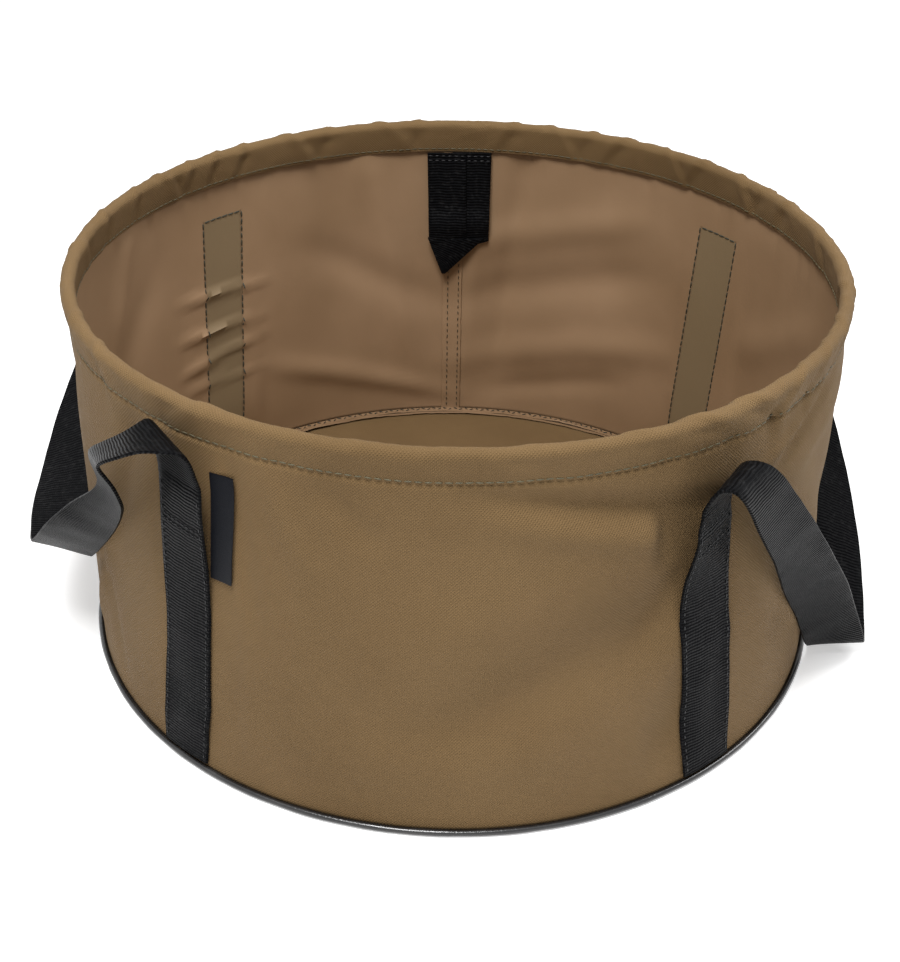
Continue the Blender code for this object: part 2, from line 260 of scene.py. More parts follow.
def makeWeaveGroup():    # plain weave: warp over weft in turn, with uneven yarns
    group, start, end = startGroup(
        "plainWeave",
        [("Vector", "Vector", None), ("Pitch", "Float", 0.0009), ("Uneven", "Float", 0.3)],
        [("Height", "Float"), ("Yarn", "Float")],
    )
    split = group.nodes.new("ShaderNodeSeparateXYZ")
    group.links.new(start.outputs["Vector"], split.inputs[0])
    wander = noiseAt(group, start.outputs["Vector"], 260, 2)
    drift = addMath(group, "MULTIPLY", addMath(group, "SUBTRACT", wander, 0.5), 0.0004)
    warp = addMath(group, "ADD", split.outputs[0], drift)
    weft = addMath(group, "ADD", split.outputs[1], drift)
    pitch = start.outputs["Pitch"]
    diagonal = wave(group, addMath(group, "ADD", warp, weft), pitch)
    other = wave(group, addMath(group, "SUBTRACT", warp, weft), pitch)
    height = addMath(group, "MULTIPLY", diagonal, other)
    stretched = group.nodes.new("ShaderNodeMapping")
    stretched.inputs["Scale"].default_value = (0.12, 1.6, 1)
    group.links.new(start.outputs["Vector"], stretched.inputs["Vector"])
    slub = noiseAt(group, stretched.outputs[0], 900, 2)
    slubs = addMath(group, "MULTIPLY", addMath(group, "SUBTRACT", slub, 0.5), start.outputs["Uneven"])
    group.links.new(addMath(group, "ADD", height, slubs), end.inputs["Height"])
    group.links.new(addMath(group, "ADD", addMath(group, "MULTIPLY", height, 0.5), slubs), end.inputs["Yarn"])
    return group


def makeTwillGroup():    # webbing: ribs across it that zigzag between its lengthwise columns
    group, start, end = startGroup(
        "webbingTwill",
        [("Vector", "Vector", None), ("Rib", "Float", 0.0013), ("Column", "Float", 0.0064)],
        [("Height", "Float"), ("Yarn", "Float")],
    )
    split = group.nodes.new("ShaderNodeSeparateXYZ")
    group.links.new(start.outputs["Vector"], split.inputs[0])
    columns = addMath(group, "DIVIDE", split.outputs[0], start.outputs["Column"])
    zigzag = addMath(group, "PINGPONG", columns, 1.0)
    slant = addMath(group, "MULTIPLY", zigzag, addMath(group, "MULTIPLY", start.outputs["Rib"], 0.22))
    ribs = wave(group, addMath(group, "ADD", split.outputs[1], slant), start.outputs["Rib"])
    yarns = wave(group, split.outputs[0], addMath(group, "MULTIPLY", start.outputs["Rib"], 0.55))
    body = addMath(group, "ADD", addMath(group, "MULTIPLY", ribs, 0.8), addMath(group, "MULTIPLY", yarns, 0.2))
    fuzz = noiseAt(group, start.outputs["Vector"], 1500, 2)
    height = addMath(group, "ADD", body, addMath(group, "MULTIPLY", fuzz, 0.25))
    group.links.new(height, end.inputs["Height"])
    group.links.new(addMath(group, "MULTIPLY", height, 0.8), end.inputs["Yarn"])
    return group


def makeMottleGroup():    # slow and quick unevenness of a finish
    group, start, end = startGroup(
        "mottle",
        [("Vector", "Vector", None), ("Broad", "Float", 9.0), ("Fine", "Float", 120.0)],
        [("Broad", "Float"), ("Fine", "Float")],
    )
    for label, detail in (("Broad", 4.0), ("Fine", 3.0)):
        node = group.nodes.new("ShaderNodeTexNoise")
        node.inputs["Detail"].default_value = detail
        group.links.new(start.outputs["Vector"], node.inputs["Vector"])
        group.links.new(start.outputs[label], node.inputs["Scale"])
        spread = group.nodes.new("ShaderNodeMapRange")
        spread.inputs["From Min"].default_value = 0.3
        spread.inputs["From Max"].default_value = 0.7
        group.links.new(node.outputs["Fac"], spread.inputs["Value"])
        group.links.new(spread.outputs["Result"], end.inputs[label])
    return group


def makeBandGroup():    # 1 within a band round the middle of a value, with soft edges
    group, start, end = startGroup(
        "band",
        [("Value", "Float", 0.0), ("Middle", "Float", 0.0), ("Half", "Float", 0.01), ("Soft", "Float", 0.002)],
        [("Mask", "Float")],
    )
    away = addMath(group, "ABSOLUTE", addMath(group, "SUBTRACT", start.outputs["Value"], start.outputs["Middle"]))
    edge = addMath(group, "SUBTRACT", start.outputs["Half"], away)
    mask = addMath(group, "DIVIDE", edge, start.outputs["Soft"])
    node = group.nodes.new("ShaderNodeClamp")
    group.links.new(mask, node.inputs["Value"])
    group.links.new(node.outputs[0], end.inputs["Mask"])
    return group


weaveGroup = makeWeaveGroup()
twillGroup = makeTwillGroup()
mottleGroup = makeMottleGroup()
bandGroup = makeBandGroup()
print("shader groups made")


def useGroup(tree, group, **values):
    node = tree.nodes.new("ShaderNodeGroup")
    node.node_tree = group
    for name, value in values.items():
        if isinstance(value, (int, float)):
            node.inputs[name].default_value = value
        else:
            tree.links.new(value, node.inputs[name])
    return node.outputs


def startMaterial(name, look):
    material = bpy.data.materials.new(name)
    material.use_nodes = True
    tree = material.node_tree
    shader = tree.nodes["Principled BSDF"]
    for socket in ("Roughness", "Metallic", "Coat Weight", "Coat Roughness", "Sheen Weight", "Sheen Roughness",
                   "Specular IOR Level"):
        if socket in look:
            shader.inputs[socket].default_value = look[socket]
    uv = tree.nodes.new("ShaderNodeUVMap")
    uv.uv_map = "weaveMap"
    place = tree.nodes.new("ShaderNodeTexCoord")
    return material, tree, shader, uv.outputs[0], place.outputs["Object"]


def addBump(tree, shader, height, distance, strength=1.0):
    bump = tree.nodes.new("ShaderNodeBump")
    bump.inputs["Distance"].default_value = distance
    bump.inputs["Strength"].default_value = strength
    tree.links.new(height, bump.inputs["Height"])
    tree.links.new(bump.outputs[0], shader.inputs["Normal"])


# Cloth

clothLook = {
    "woven": {
        "Roughness": 0.80, "Sheen Weight": 0.02, "Sheen Roughness": 0.5, "Specular IOR Level": 0.18,
        "light": (0.232, 0.145, 0.064), "dark": (0.172, 0.104, 0.043), "yarn": (0.080, 0.048, 0.019),
        "pitch": 0.0016, "bump": 0.00032,
    },
    "coated": {
        "Roughness": 0.50, "Specular IOR Level": 0.36, "Sheen Weight": 0.0, "Sheen Roughness": 0.4,
        # strap: painted shade over each strap behind the cloth, where the webbing keeps light from shining through it
        "light": (0.325, 0.208, 0.120), "dark": (0.235, 0.146, 0.078), "strap": (0.185, 0.140, 0.078),
        "pitch": 0.0011, "bump": 0.00004,
    },
}


def makeWovenCloth():
    look = clothLook["woven"]
    material, tree, shader, uv, place = startMaterial("wovenCloth", look)
    weave = useGroup(tree, weaveGroup, Vector=uv, Pitch=look["pitch"], Uneven=0.25)
    mottle = useGroup(tree, mottleGroup, Vector=place, Broad=11.0, Fine=150.0)
    base = mixColours(tree, mottle["Broad"], look["dark"], look["light"])
    grain = addMath(tree, "MULTIPLY", addMath(tree, "SUBTRACT", 0.75, weave["Yarn"]), 0.55)
    colour = mixColours(tree, grain, base, look["yarn"])
    fine = addMath(tree, "MULTIPLY", mottle["Fine"], 0.08)
    colour = mixColours(tree, fine, colour, look["light"])
    tree.links.new(colour, shader.inputs["Base Color"])
    addBump(tree, shader, weave["Height"], look["bump"])
    return material


def makeCoatedCloth():
    look = clothLook["coated"]
    material, tree, shader, uv, place = startMaterial("coatedCloth", look)
    weave = useGroup(tree, weaveGroup, Vector=uv, Pitch=look["pitch"], Uneven=0.2)
    mottle = useGroup(tree, mottleGroup, Vector=place, Broad=9.0, Fine=60.0)
    base = mixColours(tree, mottle["Broad"], look["dark"], look["light"])
    base = mixColours(tree, addMath(tree, "MULTIPLY", mottle["Fine"], 0.10), base, look["dark"])
    split = tree.nodes.new("ShaderNodeSeparateXYZ")
    tree.links.new(uv, split.inputs[0])
    strapShade, grooveAndShade = None, None
    top = tub["strapTop"]
    tall = useGroup(tree, bandGroup, Value=split.outputs[1], Middle=top / 2, Half=top / 2, Soft=0.001)["Mask"]
    for name, angle in tub["straps"].items():
        lean = math.radians(tub["leans"][name]) * meanRadius
        upright = addMath(tree, "MULTIPLY_ADD", split.outputs[1], -2 * lean / top, lean)
        upright = addMath(tree, "ADD", split.outputs[0], upright)
        middle = math.radians(angle) * meanRadius
        band = useGroup(tree, bandGroup, Value=upright, Middle=middle,
                        Half=tub["webbingWidth"] / 2 - 0.001, Soft=0.0015)["Mask"]
        line = useGroup(tree, bandGroup, Value=upright, Middle=middle,
                        Half=tub["webbingWidth"] / 2 - 0.0005, Soft=0.001)["Mask"]
        edge = addMath(tree, "SUBTRACT", line, band)
        strapShade = band if strapShade is None else addMath(tree, "MAXIMUM", strapShade, band)
        grooveAndShade = edge if grooveAndShade is None else addMath(tree, "MAXIMUM", grooveAndShade, edge)
    strapShade = addMath(tree, "MULTIPLY", strapShade, tall)
    grooveAndShade = addMath(tree, "MULTIPLY", grooveAndShade, tall)
    # painted shade: the inside is darkened and greyed over each strap sewn on behind
    colour = mixColours(tree, addMath(tree, "MULTIPLY", strapShade, 0.75), base, look["strap"])
    # painted shade in the sewn grooves along each strap's edges; the same mask also dents the bump below
    colour = mixColours(tree, addMath(tree, "MULTIPLY", grooveAndShade, 0.5), colour, (0.10, 0.07, 0.04))
    tree.links.new(colour, shader.inputs["Base Color"])
    rough = addMath(tree, "MULTIPLY_ADD", mottle["Broad"], 0.12, look["Roughness"] - 0.06)
    tree.links.new(rough, shader.inputs["Roughness"])
    height = addMath(tree, "SUBTRACT", addMath(tree, "MULTIPLY", weave["Height"], 0.12), grooveAndShade)
    addBump(tree, shader, height, 0.0003)
    return material


wovenCloth = makeWovenCloth()
coatedCloth = makeCoatedCloth()


# Webbing, thread, piping, label and steel

webbingLook = {
    "Roughness": 0.30, "Specular IOR Level": 0.02, "light": (0.0088, 0.0091, 0.0102), "dark": (0.0015, 0.0015, 0.0018),
    "rib": 0.0019, "column": 0.0053, "bump": 0.00036,
}


def makeWebbing():
    look = webbingLook
    material, tree, shader, uv, place = startMaterial("blackWebbing", look)
    twill = useGroup(tree, twillGroup, Vector=uv, Rib=look["rib"], Column=look["column"])
    mottle = useGroup(tree, mottleGroup, Vector=place, Broad=25.0, Fine=400.0)
    share = addMath(tree, "MULTIPLY", twill["Yarn"], addMath(tree, "MULTIPLY_ADD", mottle["Broad"], 0.35, 0.55))
    colour = mixColours(tree, share, look["dark"], look["light"])
    lint = addMath(tree, "MULTIPLY", addMath(tree, "POWER", mottle["Fine"], 4.0), 0.20)
    colour = mixColours(tree, lint, colour, (0.05, 0.05, 0.05))
    tree.links.new(colour, shader.inputs["Base Color"])
    addBump(tree, shader, twill["Height"], look["bump"])
    return material


threadLook = {
    "hemThread": {"Roughness": 0.6, "colour": (0.110, 0.092, 0.045), "dark": (0.060, 0.052, 0.026)},
    "strapThread": {"Roughness": 0.6, "colour": (0.034, 0.035, 0.022), "dark": (0.014, 0.015, 0.010)},
    "blackThread": {"Roughness": 0.5, "colour": (0.020, 0.020, 0.022), "dark": (0.008, 0.008, 0.009)},
}


def makeThread(name):
    look = threadLook[name]
    material, tree, shader, uv, place = startMaterial(name, look)
    mottle = useGroup(tree, mottleGroup, Vector=place, Broad=90.0, Fine=900.0)
    share = addMath(tree, "MULTIPLY_ADD", mottle["Broad"], 0.6, 0.2)
    colour = mixColours(tree, share, look["dark"], look["colour"])
    tree.links.new(colour, shader.inputs["Base Color"])
    addBump(tree, shader, mottle["Fine"], 0.0001)
    return material


pipingLook = {
    "Roughness": 0.24, "Coat Weight": 0.4, "Coat Roughness": 0.12, "Specular IOR Level": 0.5,
    "colour": (0.0085, 0.0085, 0.0095), "scuff": (0.050, 0.048, 0.046),
}


def makePiping():
    look = pipingLook
    material, tree, shader, uv, place = startMaterial("glossPiping", look)
    mottle = useGroup(tree, mottleGroup, Vector=place, Broad=40.0, Fine=700.0)
    scuff = addMath(tree, "MULTIPLY", addMath(tree, "POWER", mottle["Broad"], 3.0), 0.35)
    colour = mixColours(tree, scuff, look["colour"], look["scuff"])
    tree.links.new(colour, shader.inputs["Base Color"])
    rough = addMath(tree, "MULTIPLY_ADD", scuff, 0.5, look["Roughness"])
    tree.links.new(rough, shader.inputs["Roughness"])
    addBump(tree, shader, mottle["Fine"], 0.00006)
    return material


labelLook = {
    "Roughness": 0.5, "Sheen Weight": 0.0, "Sheen Roughness": 0.3, "Specular IOR Level": 0.14,
    "light": (0.0050, 0.0060, 0.0110), "dark": (0.0018, 0.0024, 0.0045), "edge": (0.020, 0.022, 0.030),
}


def makeLabel():
    look = labelLook
    material, tree, shader, uv, place = startMaterial("wovenLabel", look)
    weave = useGroup(tree, weaveGroup, Vector=uv, Pitch=0.0007, Uneven=0.6)
    mottle = useGroup(tree, mottleGroup, Vector=place, Broad=60.0, Fine=900.0)
    share = addMath(tree, "MULTIPLY", weave["Yarn"], addMath(tree, "MULTIPLY_ADD", mottle["Broad"], 0.5, 0.6))
    colour = mixColours(tree, share, look["dark"], look["light"])
    colour = mixColours(tree, addMath(tree, "MULTIPLY", mottle["Fine"], 0.08), colour, look["edge"])
    tree.links.new(colour, shader.inputs["Base Color"])
    addBump(tree, shader, weave["Height"], 0.00018)
    return material


steelLook = {"Roughness": 0.30, "Metallic": 1.0, "light": (0.60, 0.60, 0.61), "dark": (0.40, 0.39, 0.38)}


def makeSteel():
    look = steelLook
    material, tree, shader, uv, place = startMaterial("springSteel", look)
    mottle = useGroup(tree, mottleGroup, Vector=place, Broad=80.0, Fine=1200.0)
    tree.links.new(mixColours(tree, mottle["Broad"], look["dark"], look["light"]), shader.inputs["Base Color"])
    rough = addMath(tree, "MULTIPLY_ADD", mottle["Fine"], 0.2, look["Roughness"] - 0.1)
    tree.links.new(rough, shader.inputs["Roughness"])
    addBump(tree, shader, mottle["Fine"], 0.00003)
    return material


blackWebbing = makeWebbing()
threads = {name: makeThread(name) for name in threadLook}
glossPiping = makePiping()
wovenLabel = makeLabel()
springSteel = makeSteel()
print("materials made")


# Studio

studio = {
    "photoSize": (900, 962),
    "focalPixels": 1471.5,
    "eye": (0.0, -0.7102, 0.5289),
    "pitch": 32.80,   # degrees down
    "yaw": 0.19,
    "roll": 0.845,
    "sky": 0.46,
    "lamps": {    # power, place, size
        "key": (25, (-0.22, -0.62, 1.45), 0.5),
        "fill": (9, (0.95, 0.35, 1.05), 0.6),
    },
    "floor": 0.90,
    "floorGlow": 0.42,    # what lights nothing
}


def setCamera():
    data = bpy.data.cameras.new("photoCamera")
    data.sensor_fit = "AUTO"
    data.sensor_width = 36.0
    data.lens = studio["focalPixels"] * 36.0 / studio["photoSize"][1]
    camera = bpy.data.objects.new("photoCamera", data)
    bpy.context.scene.collection.objects.link(camera)
    yaw, tip, roll = (math.radians(a) for a in (studio["yaw"], 90 - studio["pitch"], studio["roll"]))
    camera.matrix_world = (Matrix.Translation(studio["eye"]) @ Matrix.Rotation(yaw, 4, "Z")
                           @ Matrix.Rotation(tip, 4, "X") @ Matrix.Rotation(roll, 4, "Z"))
    bpy.context.scene.camera = camera


def seenDirectly(tree):    # 1 to the camera and in reflections
    ray = tree.nodes.new("ShaderNodeLightPath")
    seen = addMath(tree, "MAXIMUM", ray.outputs["Is Camera Ray"], ray.outputs["Is Glossy Ray"])
    return addMath(tree, "MAXIMUM", seen, ray.outputs["Is Transmission Ray"])


def setLights():
    world = bpy.data.worlds.new("studioWorld")
    bpy.context.scene.world = world
    world.use_nodes = True
    tree = world.node_tree
    background = tree.nodes["Background"]
    background.inputs["Color"].default_value = (1, 1, 1, 1)
    strength = addMath(tree, "MULTIPLY_ADD", seenDirectly(tree), 1 - studio["sky"], studio["sky"])
    tree.links.new(strength, background.inputs["Strength"])
    for name, (power, place, size) in studio["lamps"].items():
        lamp = bpy.data.lights.new(name, "AREA")
        lamp.energy = power
        lamp.size = size
        panel = bpy.data.objects.new(name, lamp)
        bpy.context.scene.collection.objects.link(panel)
        panel.location = place
        panel.rotation_euler = (Vector((0, 0, 0.1)) - panel.location).to_track_quat("-Z", "Y").to_euler()


def addFloor():
    deselectAll()
    bpy.ops.mesh.primitive_plane_add(size=8, location=(0, 0, 0))
    floor = bpy.context.active_object
    floor.name = "floor"
    material = bpy.data.materials.new("paleFloor")
    material.use_nodes = True
    tree = material.node_tree
    shader = tree.nodes["Principled BSDF"]
    shader.inputs["Base Color"].default_value = (studio["floor"],) * 3 + (1,)
    shader.inputs["Roughness"].default_value = 0.9
    shader.inputs["Specular IOR Level"].default_value = 0.0
    glow = tree.nodes.new("ShaderNodeEmission")
    strength = addMath(tree, "MULTIPLY", seenDirectly(tree), studio["floorGlow"])
    tree.links.new(strength, glow.inputs["Strength"])
    both = tree.nodes.new("ShaderNodeAddShader")
    tree.links.new(shader.outputs[0], both.inputs[0])
    tree.links.new(glow.outputs[0], both.inputs[1])
    tree.links.new(both.outputs[0], tree.nodes["Material Output"].inputs["Surface"])
    floor.data.materials.append(material)


bpy.context.scene.view_settings.view_transform = "Standard"
setCamera()
setLights()
addFloor()
print("studio set")


# Folds of the cloth: every piece sewn to the wall follows them

drapery = {
    # (degrees, height) at both ends, depth (metres, outwards), half width (metres)
    "folds": [
        ((34, 0.168), (6, 0.190), -0.0046, 0.0070),
        ((34, 0.152), (10, 0.176), 0.0026, 0.0080),
        ((33, 0.150), (26, 0.100), -0.0030, 0.0110),
        ((30, 0.118), (0, 0.062), -0.0042, 0.0200),
        ((22, 0.152), (-6, 0.112), 0.0018, 0.0200),
        ((14, 0.050), (-14, 0.040), 0.0016, 0.0180),
        ((-29, 0.192), (-27, 0.120), -0.0018, 0.0060),
        ((-24, 0.192), (-19, 0.150), 0.0014, 0.0080),
        ((-16, 0.190), (-10, 0.166), -0.0014, 0.0070),
        ((-46, 0.190), (-56, 0.110), -0.0026, 0.0090),
        ((-58, 0.100), (-70, 0.030), 0.0020, 0.0060),
        ((-62, 0.085), (-58, 0.015), -0.0014, 0.0070),
        ((-70, 0.195), (-84, 0.130), -0.0018, 0.0090),
        ((47, 0.178), (60, 0.198), 0.0022, 0.0035),
        ((50, 0.172), (64, 0.193), -0.0028, 0.0060),
        ((56, 0.160), (76, 0.180), 0.0014, 0.0080),
        ((62, 0.150), (80, 0.080), -0.0020, 0.0140),
        ((46, 0.110), (52, 0.040), 0.0014, 0.0120),
        ((168, 0.190), (172, 0.050), 0.0034, 0.0100),
        ((176, 0.190), (178, 0.060), -0.0018, 0.0070),
        ((197, 0.190), (189, 0.050), -0.0032, 0.0110),
        ((206, 0.180), (203, 0.080), 0.0018, 0.0130),
        ((148, 0.158), (176, 0.132), -0.0024, 0.0110),
        ((146, 0.122), (176, 0.092), 0.0026, 0.0130),
        ((140, 0.075), (176, 0.045), -0.0024, 0.0110),
        ((150, 0.040), (172, 0.018), 0.0018, 0.0080),
        ((206, 0.130), (186, 0.090), 0.0022, 0.0120),
        ((212, 0.050), (184, 0.016), -0.0032, 0.0080),
        ((222, 0.098), (236, 0.101), -0.0030, 0.0026),
        ((222, 0.083), (236, 0.079), -0.0030, 0.0028),
        ((221, 0.122), (235, 0.126), -0.0026, 0.0026),
        ((222, 0.061), (235, 0.064), -0.0024, 0.0030),
        ((125, 0.055), (134, 0.050), -0.0014, 0.0040),
        ((100, 0.150), (118, 0.110), -0.0020, 0.0120),
        ((245, 0.150), (262, 0.080), 0.0022, 0.0130),
        ((250, 0.190), (256, 0.140), -0.0020, 0.0080),
    ],
    "swell": 0.0012,
    "ripple": 0.00045,
    "keep": 0.213,           # of its height, once the bucket is down
    "anchorsDrop": 0.1364,
    "tuck": (0.019, 0.030),  # the cloth is drawn in this far to each side of a strap, so that its top clears it
}

# Creases of the hem: direction, lean over the hem (degrees), depth (metres), half width (degrees)
hemLook = {
    "creases": [
        (-128.0, 3.0, 0.0020, 0.8), (-121.0, -3.5, 0.0022, 0.9), (-134.0, 4.0, 0.0018, 0.7),
        (-140.0, 3.5, 0.0022, 0.9), (-149.5, -4.0, 0.0020, 1.1), (-157.0, 4.0, 0.0016, 1.2),
        (-168.0, -5.0, 0.0014, 1.4), (-174.0, 3.0, 0.0012, 1.0), (-114.0, 3.0, 0.0016, 0.8),
        (168.0, 4.0, 0.0016, 1.2), (161.0, -4.0, 0.0018, 1.0), (154.0, 4.0, 0.0016, 0.8),
        (147.0, 5.0, 0.0020, 1.0), (139.0, -4.0, 0.0018, 0.8), (131.0, 4.0, 0.0020, 0.8),
        (122.0, -3.0, 0.0020, 1.0), (116.0, 4.0, 0.0016, 0.7), (109.0, 4.0, 0.0016, 1.0),
        (98.0, -3.0, 0.0014, 1.2), (-104.0, 3.0, 0.0018, 1.0), (-92.0, -3.0, 0.0014, 1.1),
        (38.0, -7.0, 0.0020, 1.4), (29.0, -8.0, 0.0018, 1.7), (20.0, -7.0, 0.0010, 2.0),
        (50.0, 5.0, 0.0018, 1.1), (58.0, 5.0, 0.0014, 1.0), (66.0, 5.0, 0.0014, 1.3),
        (-36.0, 4.0, 0.0012, 1.8), (-58.0, -4.0, 0.0014, 1.4), (-68.0, -3.0, 0.0012, 1.2),
        (6.0, -5.0, 0.0008, 2.2), (-16.0, 5.0, 0.0008, 2.2), (78.0, 4.0, 0.0014, 1.3),
    ],
    "steps": 440,
    "legRows": 8,
    "rollRows": 16,
    "rollRadius": 0.0038,
    "bulge": 0.0004,
    "hoop": (0.19885, 0.2115, 0.0025),    # radius, height and wire
    "seed": 11,
}


def wallOutside(z):
    return tub["baseRadius"] + (tub["rimRadius"] - tub["baseRadius"]) * z / tub["height"]


def crease(angle, level):    # across the hem, from level -1 at the outer stitches to 1 at the inner ones
    depth = 0.0
    for middle, lean, deep, wide in hemLook["creases"]:
        away = angleBetween(angle, middle + lean * level) / wide
        if abs(away) < 5:
            depth += deep * (0.65 * math.exp(-((away - 1.5) / 1.1) ** 2) - math.exp(-away * away))
    return depth


def looseDrape(angle, z):    # how far the wall stands out of its cone by its own folds
    depth = 0.0
    for start, end, deep, wide in drapery["folds"]:
        middle = (start[0] + end[0]) / 2
        near = Vector((math.radians(middle + angleBetween(angle, middle)) * meanRadius, z))
        first = Vector((math.radians(start[0]) * meanRadius, start[1]))
        along = Vector((math.radians(end[0]) * meanRadius, end[1])) - first
        share = (near - first).dot(along) / along.length_squared
        if -0.4 < share < 1.4:
            away = (near - first - along * share).length / wide
            ends = smooth(share, -0.4, 0.2) * (1 - smooth(share, 0.8, 1.4))
            depth += deep * math.exp(-away * away) * ends
    out = turnedBy(angle) * meanRadius
    swell = noise.noise(Vector((out.x * 11, out.y * 11, z * 7 + 3)))
    ripple = noise.noise(Vector((out.x * 34, out.y * 34, z * 16)))
    depth += swell * drapery["swell"] + ripple * drapery["ripple"]
    held = smooth(z, 0.001, 0.030) * (1 - 0.45 * smooth(z, 0.180, tub["hemFoot"]))
    gather = crease(angle, -1) * math.exp(-(tub["hemFoot"] - z) / 0.010) * 0.7
    return depth * held + gather


def drape(angle, z):    # the same, tucked in behind the straps
    depth = looseDrape(angle, z)
    lies = tub["wallFoot"] + (z - tub["wallFoot"]) * drapery["keep"] + drapery["anchorsDrop"]    # what comes to it
    if z >= lies:
        return depth
    for name in tub["straps"]:
        away = math.radians(abs(angleBetween(angle, strapAngle(name, lies)))) * meanRadius
        near = (1 - smooth(away, *drapery["tuck"])) * smooth(z, 0.004, 0.045)
        if near > 0:
            limit = looseDrape(angle, lies) + wallOutside(lies) - wallOutside(z)
            depth += min(limit - depth, 0.0) * near
    return depth


def onWall(angle, z, clear):
    point = turnedBy(angle) * (wallOutside(z) + drape(angle, z) + clear)
    point.z = z
    return point


def flattenWithWall(piece):    # comes down with the rim
    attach(piece, "base")
    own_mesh(piece)


# Wall

wallLook = {
    "foot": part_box("wall")[0][2],
    "top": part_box("wall")[1][2] + 0.0002,
    "steps": 480,
    "rows": 56,
}


def makeWall():
    foot, top = wallLook["foot"], wallLook["top"]
    rows = wallLook["rows"]
    line = []
    for row in range(rows + 1):
        z = foot + (top - foot) * row / rows
        line.append((wallOutside(z), z))
    wall = spinLine("wallCloth", line, wallLook["steps"])
    for vert in wall.data.vertices:
        angle = fromFront(vert.co)
        point = turnedBy(angle) * (wallOutside(vert.co.z) + drape(angle, vert.co.z))
        vert.co.x, vert.co.y = point.x, point.y
    unrollMap(wall, lambda point: point.z)
    finishPiece(wall, [wovenCloth, coatedCloth], 60)
    applyModifier(wall, "SOLIDIFY", thickness=tub["cloth"], offset=-1, material_offset=1, material_offset_rim=0)
    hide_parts("wall")
    flattenWithWall(wall)
    return wall


# Base panel with the turned-in seam round it

baseLook = {
    "steps": 144,
    "rings": 26,
    "swell": 0.0011,
    "seamInner": 0.1965,
    "seamOuter": 0.2030,
    "layers": [(0.0, 0.0010, 0.00125), (0.0012, 0.0008, 0.0024)],    # set in, lift of the inner edge, height
}


def makeBase():
    deselectAll()
    bpy.ops.mesh.primitive_circle_add(vertices=baseLook["steps"], radius=tub["baseRadius"], fill_type="NOTHING")
    panel = bpy.context.active_object
    panel.name = "basePanel"
    bpy.ops.object.mode_set(mode="EDIT")
    bpy.ops.mesh.select_all(action="SELECT")
    rings = baseLook["rings"]
    for ring in range(1, rings):
        share = (rings - ring) / (rings - ring + 1)
        bpy.ops.mesh.extrude_region_move(TRANSFORM_OT_translate={"value": (0, 0, 0)})
        bpy.ops.transform.resize(value=(share, share, 1), center_override=(0, 0, 0))
    bpy.ops.mesh.merge(type="CENTER")
    bpy.ops.object.mode_set(mode="OBJECT")
    mendNormals(panel)
    for vert in panel.data.vertices:
        radius = vert.co.xy.length
        held = 1 - smooth(radius, 0.150, 0.196)
        vert.co.z += held * baseLook["swell"] * (0.5 + 0.5 * noise.noise(Vector((vert.co.x * 14, vert.co.y * 14, 5))))
    uvs = panel.data.uv_layers.active or panel.data.uv_layers.new(name="weaveMap")
    uvs.name = "weaveMap"
    for loop in panel.data.loops:
        point = panel.data.vertices[loop.vertex_index].co
        uvs.data[loop.index].uv = (point.x, point.y + 1)
    if sum(face.normal.z for face in panel.data.polygons) < 0:
        panel.data.flip_normals()
    finishPiece(panel, [wovenCloth, coatedCloth], 60)
    applyModifier(panel, "SOLIDIFY", thickness=tub["cloth"], offset=1, material_offset=1, material_offset_rim=0)
    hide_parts("base_panel")
    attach(panel, "base")
    return panel


def makeBaseSeam():
    seams = []
    for number, (setIn, lift, z) in enumerate(baseLook["layers"]):
        outer, inner = baseLook["seamOuter"] - setIn / 2, baseLook["seamInner"] + setIn
        line = [(outer + (inner - outer) * n / 6, z) for n in range(7)]
        seam = spinLine(f"baseSeamLayer{number + 1}", line, 300)
        for vert in seam.data.vertices:
            angle = fromFront(vert.co)
            out = turnedBy(angle)
            share = (outer - vert.co.xy.length) / (outer - inner)
            wavy = noise.noise(Vector((out.x * 7, out.y * 7, number * 5)))
            ragged = noise.noise(Vector((out.x * 40, out.y * 40, number * 9)))
            vert.co.z += share * share * lift * (1.0 + 1.6 * max(wavy, -0.3))
            vert.co.x += out.x * share * ragged * 0.0008
            vert.co.y += out.y * share * ragged * 0.0008
        unrollMap(seam, lambda point: point.xy.length)
        if sum(face.normal.z for face in seam.data.polygons) < 0:
            seam.data.flip_normals()
        applyModifier(seam, "SOLIDIFY", thickness=tub["cloth"], offset=1)
        finishPiece(seam, [coatedCloth], 50)
        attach(seam, "base")
        seams.append(seam)
    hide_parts("base_seam")
    return seams


# Stitches: one thread dash, copied along each row

stitchLook = {"length": 0.0029, "thick": 0.00062, "pitch": 0.0040}


def makeStitch():
    deselectAll()
    bpy.ops.mesh.primitive_uv_sphere_add(segments=6, ring_count=4, radius=0.5)
    stitch = bpy.context.active_object
    stitch.name = "stitchDash"
    bpy.ops.object.mode_set(mode="EDIT")
    bpy.ops.mesh.select_all(action="SELECT")
    bpy.ops.transform.resize(value=(stitchLook["thick"], stitchLook["thick"], stitchLook["length"]))
    bpy.ops.object.mode_set(mode="OBJECT")
    return stitch


